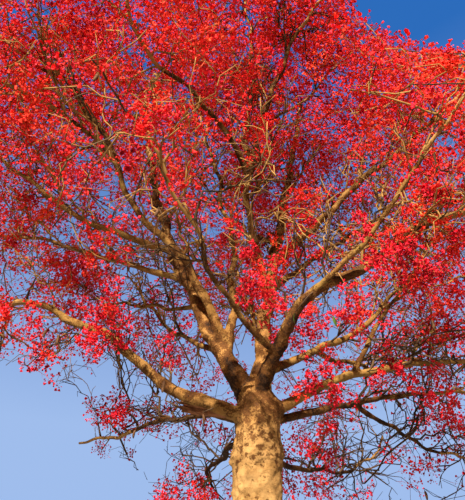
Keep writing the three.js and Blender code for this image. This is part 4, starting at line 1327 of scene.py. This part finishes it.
# Materials. A socket takes a number, a colour or another node's output.
def feed(tree, socket, value):
    if isinstance(value, bpy.types.NodeSocket):
        tree.links.new(value, socket)
    else:
        socket.default_value = (*value, 1.0) if isinstance(value, tuple) else value


def addNode(tree, kind, inputs=None, **settings):
    node = tree.nodes.new("ShaderNode" + kind)
    for name, value in settings.items():
        setattr(node, name, value)
    for name, value in (inputs or {}).items():
        feed(tree, node.inputs[name], value)
    return node


def newMaterial(name, roughness, colour=None):
    material = bpy.data.materials.new(name)
    material.use_nodes = True
    shader = material.node_tree.nodes["Principled BSDF"]
    shader.inputs["Roughness"].default_value = roughness
    if colour:
        feed(material.node_tree, shader.inputs["Base Color"], colour)
    return material, material.node_tree, shader


def ofType(sockets, kind):
    return [socket for socket in sockets if socket.type == kind]


def mixed(tree, kind, first, second, amount, blend="MIX"):
    # kind is RGBA or VECTOR.
    mix = addNode(tree, "Mix", {0: amount}, data_type=kind, blend_type=blend)
    for socket, value in zip(ofType(mix.inputs, kind), (first, second)):
        feed(tree, socket, value)
    return ofType(mix.outputs, kind)[0]


def mixColour(tree, first, second, amount, blend="MIX"):
    return mixed(tree, "RGBA", first, second, amount, blend)


def ranged(tree, source, low, high, toLow=0.0, toHigh=1.0):
    ends = {"From Min": low, "From Max": high, "To Min": toLow, "To Max": toHigh}
    return addNode(tree, "MapRange", {**ends, "Value": source}).outputs["Result"]


def maths(tree, operation, first, second):
    return addNode(tree, "Math", {0: first, 1: second}, operation=operation).outputs["Value"]


def times(tree, first, second):
    return maths(tree, "MULTIPLY", first, second)


def noiseAt(tree, place, scale, detail, roughness):
    inputs = {"Vector": place, "Scale": scale, "Detail": detail, "Roughness": roughness}
    return addNode(tree, "TexNoise", inputs).outputs["Fac"]


def newGroup(name, inputs, outputs):
    # A node group, with its inner inputs and outputs.
    group = bpy.data.node_groups.new(name, "ShaderNodeTree")
    for way, sockets in (("INPUT", inputs), ("OUTPUT", outputs)):
        for socketName, kind in sockets.items():
            group.interface.new_socket(socketName, in_out=way, socket_type="NodeSocket" + kind)
    given, result = group.nodes.new("NodeGroupInput").outputs, group.nodes.new("NodeGroupOutput").inputs
    return group, given, result


grainSockets = {"Place": "Vector", "Along": "Float", "Stain And Shade": "Float", "Patch Scale": "Float",
                "Streak Scale": "Float", "Pit Scale": "Float"}
grainMasks = ("Patches", "Streaks", "Pits", "Marks And Shade", "Holes And Shade", "Cracks", "Height")
grainShape = {
    "streakTwist": 3.0,        # how fast the streaks change along the limb
    "raggedness": (0.27, 0.73, -0.60, 0.60),
    "marksAndShade": (0.36, 0.58),     # stain and painted shade from which marks and holes begin, and at which they are full
    "holesAndShade": (0.85, 1.15),
    "pits": (0.04, 0.26, 1.0, 0.0),
    "rarePits": 0.95,
    "crackBend": 0.05,
    "crackScale": 2.2,
    "cracks": (0.008, 0.030, 1.0, 0.0),
    "crackedPatches": (0.50, 0.56),
    "sunken": 0.6,
}


def grainGroup():
    # Broad patches, streaks round the limb, ragged marks where its stain and painted shade run high, cracks
    # and small pits.
    tree, given, result = newGroup("barkGrain", grainSockets, dict.fromkeys(grainMasks, "Float"))
    place, patchScale, pitScale = given["Place"], given["Patch Scale"], given["Pit Scale"]
    patches = noiseAt(tree, place, patchScale, 5.0, 0.62)
    split = addNode(tree, "SeparateXYZ", {"Vector": place}).outputs
    across = maths(tree, "ADD", split["X"], times(tree, given["Along"], grainShape["streakTwist"]))
    joined = addNode(tree, "CombineXYZ", {"X": across, "Y": split["Y"], "Z": split["Z"]})
    streaks = noiseAt(tree, joined.outputs["Vector"], given["Streak Scale"], 6.0, 0.7)
    ragged = ranged(tree, noiseAt(tree, place, pitScale, 7.0, 0.72), *grainShape["raggedness"])
    worn = maths(tree, "ADD", given["Stain And Shade"], ragged)
    marksAndShade, holesAndShade = ranged(tree, worn, *grainShape["marksAndShade"]), ranged(tree, worn, *grainShape["holesAndShade"])
    cells = addNode(tree, "TexVoronoi", {"Vector": place, "Scale": pitScale}).outputs
    shade = addNode(tree, "SeparateColor", {"Color": cells["Color"]}).outputs["Red"]
    rare = maths(tree, "GREATER_THAN", shade, grainShape["rarePits"])
    pits = times(tree, ranged(tree, cells["Distance"], *grainShape["pits"]), rare)
    noise = addNode(tree, "TexNoise", {"Vector": place, "Scale": 9.0})
    bent = mixed(tree, "VECTOR", place, noise.outputs["Color"], grainShape["crackBend"])
    rims = addNode(tree, "TexVoronoi", feature="DISTANCE_TO_EDGE")
    feed(tree, rims.inputs["Vector"], bent)
    feed(tree, rims.inputs["Scale"], times(tree, patchScale, grainShape["crackScale"]))
    cracks = times(tree, ranged(tree, rims.outputs["Distance"], *grainShape["cracks"]),
                   ranged(tree, patches, *grainShape["crackedPatches"]))
    sunken = maths(tree, "ADD", pits, maths(tree, "ADD", marksAndShade, cracks))
    height = maths(tree, "SUBTRACT", streaks, times(tree, sunken, grainShape["sunken"]))
    for name, value in zip(grainMasks, (patches, streaks, pits, marksAndShade, holesAndShade, cracks, height)):
        feed(tree, result[name], value)
    return tree


def attributeValue(tree, name):
    return addNode(tree, "Attribute", attribute_name=name).outputs["Fac"]


barkFinish = {
    "roughness": 0.78,
    "specular": 0.15,
    "warm": (0.43, 0.66),             # patches at which the warm tone begins and is full
    "dark": (0.56, 0.80, 0.0, 0.7),
    "aloft": (2.55, 3.15),            # heights between which the limbs' tone comes in: a warmer tone and painted shade
    "green": (0.36, 0.60, 0.85, 0.15),
    "markAndShade": 0.86,
    "crack": 0.6,
    "pit": (0.2, 1.0, 0.0, 0.7),
    "sheen": (0.3, 0.7, 0.9, 0.66),      # roughness that the streaks give
    "bump": 0.7,
}


def barkMaterial(name, grain, tones, scales, bump, grown=False):
    # A grown bark also reads its girth, stains and length, and darkens above the fork, partly warmer bark and
    # partly painted shade of the crown.
    material, tree, shader = newMaterial(name, barkFinish["roughness"])
    shader.inputs["Specular IOR Level"].default_value = barkFinish["specular"]
    place = addNode(tree, "TexCoord").outputs["Object"]
    effect = addNode(tree, "Group", node_tree=grain)
    feed(tree, effect.inputs["Place"], place)
    for socket, value in zip(("Patch Scale", "Streak Scale", "Pit Scale"), scales):
        effect.inputs[socket].default_value = value
    masks = effect.outputs
    patches, streaks = masks["Patches"], masks["Streaks"]
    colour = mixColour(tree, tones["pale"], tones["warm"], ranged(tree, patches, *barkFinish["warm"]))
    colour = mixColour(tree, colour, tones["dark"], ranged(tree, streaks, *barkFinish["dark"]))
    if grown:
        for socket, attribute in (("Along", "along"), ("Stain And Shade", "stainAndShade")):
            feed(tree, effect.inputs[socket], attributeValue(tree, attribute))
        height = addNode(tree, "SeparateXYZ", {"Vector": place}).outputs["Z"]
        aloft = ranged(tree, height, *barkFinish["aloft"])
        # From the fork up: warmer bark, and painted shade of the crown.
        colour = mixColour(tree, colour, tones["limb"], aloft, "MULTIPLY")
        greenish = times(tree, attributeValue(tree, "thin"), ranged(tree, patches, *barkFinish["green"]))
        colour = mixColour(tree, colour, tones["green"], greenish)
        # Marks and holes colour the stains and pits, and the painted light and shade in the stain.
        colour = mixColour(tree, colour, tones["markAndShade"], times(tree, masks["Marks And Shade"], barkFinish["markAndShade"]))
        colour = mixColour(tree, colour, tones["pit"], masks["Holes And Shade"])
        colour = mixColour(tree, colour, tones["dark"], times(tree, masks["Cracks"], barkFinish["crack"]))
    colour = mixColour(tree, colour, tones["pit"], ranged(tree, masks["Pits"], *barkFinish["pit"]))
    feed(tree, shader.inputs["Base Color"], colour)
    feed(tree, shader.inputs["Roughness"], ranged(tree, streaks, *barkFinish["sheen"]))
    inputs = {"Strength": barkFinish["bump"], "Distance": bump, "Height": masks["Height"]}
    relief = addNode(tree, "Bump", inputs)
    feed(tree, shader.inputs["Normal"], relief.outputs["Normal"])
    return material


def mottleGroup():
    # Faint mottling, from a colour to one a little darker.
    tree, given, result = newGroup("petalMottle", {"Colour": "Color", "Shade": "Color"}, {"Colour": "Color"})
    place = addNode(tree, "TexCoord").outputs["Object"]
    noise = addNode(tree, "TexNoise", {"Vector": place, "Scale": 60.0})
    amount = ranged(tree, noise.outputs["Fac"], 0.35, 0.70)
    feed(tree, result["Colour"], mixColour(tree, given["Colour"], given["Shade"], amount))
    return tree


def mottledMaterial(name, mottle, colour, darker, roughness):
    material, tree, shader = newMaterial(name, roughness)
    shader.inputs["Specular IOR Level"].default_value = 0.12
    shade = tuple(channel * darker for channel in colour)
    effect = addNode(tree, "Group", node_tree=mottle)
    feed(tree, effect.inputs["Colour"], colour)
    feed(tree, effect.inputs["Shade"], shade)
    feed(tree, shader.inputs["Base Color"], effect.outputs["Colour"])
    return material


grain = grainGroup()
mottle = mottleGroup()
# mark and pit colour stains and pits, and also the painted shade in the stain; limb is a warmer tone with
# painted shade of the crown.
barkTones = {"pale": (0.378, 0.222, 0.082), "warm": (0.275, 0.145, 0.044), "dark": (0.085, 0.032, 0.008),
             "limb": (0.91, 0.775, 0.61), "green": (0.15, 0.095, 0.018), "markAndShade": (0.070, 0.021, 0.003),
             "pit": (0.020, 0.008, 0.003)}
# Twig tones: a near-black copy painted as in shade, and a golden copy painted as in sunlight.
shadedTwigTones = {"pale": (0.090, 0.050, 0.025), "warm": (0.048, 0.026, 0.014), "dark": (0.022, 0.012, 0.008),
             "pit": (0.02, 0.010, 0.008)}
sunlitTwigTones = {"pale": (0.33, 0.18, 0.055), "warm": (0.20, 0.105, 0.030), "dark": (0.060, 0.028, 0.009),
             "pit": (0.04, 0.020, 0.010)}
deadTones = {"pale": (0.28, 0.115, 0.050), "warm": (0.13, 0.045, 0.020), "dark": (0.026, 0.010, 0.005),
             "pit": (0.012, 0.007, 0.004)}
podTones = {"pale": (0.13, 0.065, 0.030), "warm": (0.075, 0.034, 0.018), "dark": (0.025, 0.012, 0.008),
            "pit": (0.014, 0.008, 0.006)}
barkLook = barkMaterial("bark", grain, barkTones, (7.0, 20.0, 84.0), 0.009, True)
# Two copies of one twig bark: painted shaded and painted sunlit.
twigLooks = [barkMaterial("shadedTwig", grain, shadedTwigTones, (9.0, 30.0, 90.0), 0.002),
             barkMaterial("sunlitTwig", grain, sunlitTwigTones, (9.0, 30.0, 90.0), 0.002)]
deadLook = barkMaterial("deadWood", grain, deadTones, (24.0, 40.0, 80.0), 0.004)
podLook = barkMaterial("podSkin", grain, podTones, (40.0, 90.0, 160.0), 0.0015)
petalLooks = [mottledMaterial(f"{name}Petal", mottle, tint["colour"], 0.62, 0.65)
              for name, tint in petalTints.items()]
stalkLook = mottledMaterial("flowerStalk", mottle, (0.62, 0.075, 0.028), 0.6, 0.5)
leafLook = mottledMaterial("leafGreen", mottle, (0.080, 0.150, 0.026), 0.6, 0.45)
print("materials made")


# The masses in seven parts of the crown, each with its shoots and bunches.
thickTwig = 0.006      # radius from which a twig more often takes the painted sunlit tone, and has four sides
# Share of twigs painted sunlit rather than shaded, by height and thickness.
sunlitTwigShare = {"between": (3.6, 6.2), "thick": 0.65, "thin": 0.55, "least": 0.12}
oddOnes = {"share": 0.010, "sway": 0.15, "size": (0.55, 0.8)}      # twig ends with a pod or a leaf
crownParts = {
    "top_front": ("centre_upright", "centre_top", "upper_left"),
    "top_back": ("centre_leader", "left_leader", "top_right", "back_top"),
    "left_front": ("left_front", "left_front_rise", "front_cross"),
    "left_side": ("left_mid", "left_side", "left_upright", "left_low", "left_back"),
    "right_front": ("front_leader", "upper_right", "right_fork", "right_low", "right_rise"),
    "right_back": ("inner_right", "right_mid", "right_mid_low", "right_bottom", "right_droop", "back_right"),
    "left_back": ("left_inner", "back_middle", "back_left", "left_far"),
}


def growPart(names):
    # All the twigs and tips of one part of the crown.
    twigs, tips, stems = [], [], []
    for name in names:
        draw = np.random.default_rng(seeds["mass"] + list(limbs).index(name))
        if limbs[name]["spread"]:
            stem, massTwigs, massTips = growMass(name, draw)
            stems.append(stem)
            twigs += massTwigs
            tips.append((massTips, limbs[name]["bloom"]))
        shootTwigs, shootTips = growShoots(name, draw)
        twigs += shootTwigs
        tips.append((shootTips, limbs[name]["bloom"]))
    return stems, twigs, tips


def growAllNear(shapes, hung, draw):
    # The near bunches, pods and leaves, shared out to the parts of the crown before which they hang.
    near = {"left_front": ([], []), "right_front": ([], []), "top_front": ([], [])}

    def partAt(x, y):
        side = "left_front" if x < photoView["frame"][0] // 2 else "right_front"
        return near["top_front" if y < nearHang["topAbove"] else side]

    for x, y, radius, count, ahead in nearBunches:
        twigs, tips = growNear(x, y, radius, count, ahead, draw)
        partAt(x, y)[0].extend(twigs)
        partAt(x, y)[1].extend(tips)
    for kind, pixels in (("pod", podPixels), ("leaf", leafPixels)):
        for x, y in pixels:
            twigs, tips = growNear(x, y, nearHang["oddRadius"], 0, nearHang["oddAhead"], draw)
            partAt(x, y)[0].extend(twigs)
            hangOn(hung[kind], shapes[kind], kind, tips, draw)
    return near


def addPanicles(heaps, kinds, seats, draw):
    places, ways, sizes, choice = seats
    turns = turned(ways, draw)
    dealt = [draw.choice(len(petalTints), len(places), p=[tint[share] for tint in petalTints.values()])
             for share in ("share", "lowShare")]
    tints = np.where(places[:, 2] > shadedTintsBelow, *dealt)
    among = draw.integers(0, 1000, len(places))
    for which, variants in enumerate(kinds):
        for turn, (flowers, stalks) in enumerate(variants):
            own = (choice == which) & (among % len(variants) == turn)
            if own.any():
                addTo(heaps["blossom"], repeated(flowers, turns[own], sizes[own], places[own]),
                      np.repeat(tints[own], len(flowers[1])))
                addTo(heaps["stalks"], repeated(stalks, turns[own], sizes[own], places[own]))


def makeCrown():
    shapes = {"cup": modelCup(), "bell": modelBell(), "bud": modelSpike(bud["width"] / 2, bud["length"]),
              "spike": modelSpike(1.0, 1.0), "pod": modelPod(), "leaf": modelLeaf()}
    kinds = [[makePanicle(kind, seeds["panicle"] + 10 * which + turn, shapes)
              for turn in range(kind["count"])] for which, kind in enumerate(panicleKinds)]
    draw = np.random.default_rng(seeds["near"])
    hung = {"pod": newHeap(), "leaf": newHeap()}
    near = growAllNear(shapes, hung, draw)
    grown = {part: growPart(names) for part, names in crownParts.items()}
    seen = boughsSeen([twig for _, twigs, _ in grown.values() for twig in twigs])
    print("twigs grown")
    for part, (stems, twigs, tipSets) in grown.items():
        heaps = {"twigs": newHeap(), "blossom": newHeap(), "stalks": newHeap()}
        if part in near:
            twigs += near[part][0]
            addPanicles(heaps, kinds, seatPanicles(near[part][1], 1.0, True, seen, draw), draw)
        for points, radii in stems:
            # Mass stems take the painted sunlit twig tone.
            addTo(heaps["twigs"], tube(points, radii, 8), 1)
        for points, radii in (endedAtOpening(*twig) for twig in twigs):
            if len(points) < 2:
                continue
            thick = radii[0] > thickTwig
            # Twigs low down are painted shaded, and higher ones are more often painted sunlit.
            low, high = sunlitTwigShare["between"]
            chance = sunlitTwigShare["thick" if thick else "thin"] * (points[0, 2] < high) + sunlitTwigShare["least"]
            isSunlit = points[0, 2] > low and draw.random() < chance
            addTo(heaps["twigs"], tube(points, radii, 4 if thick else 3), int(isSunlit))
        for tips, bloom in tipSets:
            odd = draw.random(len(tips)) < oddOnes["share"]
            odd &= ~inOpening(np.array([place for place, _, _ in tips]), draw)
            for kind, some in (("pod", 0), ("leaf", 1)):
                chosen = [tip for tip, isOdd in zip(tips, odd) if isOdd][some::2]
                hangOn(hung[kind], shapes[kind], kind, chosen, draw)
            blooming = [tip for tip, isOdd in zip(tips, odd) if not isOdd]
            addPanicles(heaps, kinds, seatPanicles(blooming, bloom, False, seen, draw), draw)
        counts = {kind: sum(map(len, heap["triangles"])) for kind, heap in heaps.items()}
        print(part, counts, "twigs", len(twigs))
        masses = [f"{name}_blossom" for name in crownParts[part] if limbs[name]["spread"]]
        yield f"twigs_{part}", heapMesh(f"{part}Twigs", heaps["twigs"], True), twigLooks, "bark", ()
        yield f"flowers_{part}", heapMesh(f"{part}Flowers", heaps["blossom"]), petalLooks, "blossom", masses
        yield f"stalks_{part}", heapMesh(f"{part}Stalks", heaps["stalks"]), [stalkLook], "blossom", ()
    yield "seed_pods", heapMesh("seedPods", hung["pod"], True), [podLook], "dead_wood", ()
    yield "last_leaves", heapMesh("lastLeaves", hung["leaf"]), [leafLook], None, ()


def hangOn(heap, shape, kind, tips, draw):
    for place, way, _ in tips:
        if nearestSample(place[None])[1][0] < panicle["clear"]:
            continue
        hang = np.array([0, 0, 1.0]) if kind == "pod" else unit(np.array(way) * 0.5 + [0, 0, -0.6])
        turn = turned(hang + draw.normal(0, oddOnes["sway"], 3), draw)
        addTo(heap, repeated(shape, turn, [draw.uniform(*oddOnes["size"])], place[None]))


lowerBark, upperBark = makeBark()
trunkPiece = addPiece("trunk_bark", lowerBark, [barkLook])
boughPiece = addPiece("bough_bark", upperBark, [barkLook])
stubPiece = addPiece("dead_stub", makeStub(), [deadLook])
for piece, slotName in ((trunkPiece, "bark"), (boughPiece, "bark"), (stubPiece, "dead_wood")):
    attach(piece, "root")
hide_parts("trunk")
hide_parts(*[name for name, limb in limbs.items() if limb["spread"]])
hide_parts("broken_stub")
print("bark made:", len(lowerBark.polygons), len(upperBark.polygons))

for name, mesh, looks, slotName, masses in makeCrown():
    piece = addPiece(name, mesh, looks)
    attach(piece, "root")
    if masses:
        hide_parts(*masses)
print("crown made")


# A plain floor, one warm hard light, and a plain blue backdrop that only the camera sees.
studio = {
    "floorRadius": 40.0,
    "floorColour": (0.24, 0.235, 0.225),
    "floorRoughness": 0.9,
    "keyWay": (0.22, 0.80, -0.52),
    "keyColour": (1.0, 0.90, 0.76),
    "keyStrength": 12.6,
    "keyAngle": 1.5,        # degrees
    "fillColour": (1.0, 0.76, 0.58),
    "fillStrength": 0.28,
    "backdropLow": (0.35, 0.51, 0.84),
    "backdropHigh": (0.026, 0.150, 0.50),
    "backdropRise": (0.36, 0.84),      # how far up its low and high colours are reached
}


def makeStudio():
    bm = bmesh.new()
    bmesh.ops.create_circle(bm, cap_ends=True, segments=96, radius=studio["floorRadius"])
    paper = newMaterial("floorPaper", studio["floorRoughness"], studio["floorColour"])[0]
    floor = addPiece("floor", finished(bm, "floor"), [paper])
    sun = bpy.data.lights.new("key", "SUN")
    sun.energy = studio["keyStrength"]
    sun.color = studio["keyColour"]
    sun.angle = math.radians(studio["keyAngle"])
    key = bpy.data.objects.new("key", sun)
    key.rotation_euler = Vector(studio["keyWay"]).to_track_quat("-Z", "Y").to_euler()
    scene.collection.objects.link(key)
    world = bpy.data.worlds.new("studio")
    scene.world = world
    world.use_nodes = True
    tree = world.node_tree
    fill = tree.nodes["Background"]
    feed(tree, fill.inputs["Color"], studio["fillColour"])
    fill.inputs["Strength"].default_value = studio["fillStrength"]
    way = addNode(tree, "TexCoord").outputs["Generated"]
    up = addNode(tree, "SeparateXYZ", {"Vector": way}).outputs["Z"]
    backdrop = mixColour(tree, studio["backdropLow"], studio["backdropHigh"],
                         ranged(tree, up, *studio["backdropRise"]))
    seen = addNode(tree, "Background", {"Color": backdrop})
    isCamera = addNode(tree, "LightPath").outputs["Is Camera Ray"]
    choice = addNode(tree, "MixShader", {0: isCamera, 1: fill.outputs[0], 2: seen.outputs[0]})
    feed(tree, tree.nodes["World Output"].inputs["Surface"], choice.outputs[0])
    scene.view_settings.view_transform = "Standard"


makeStudio()
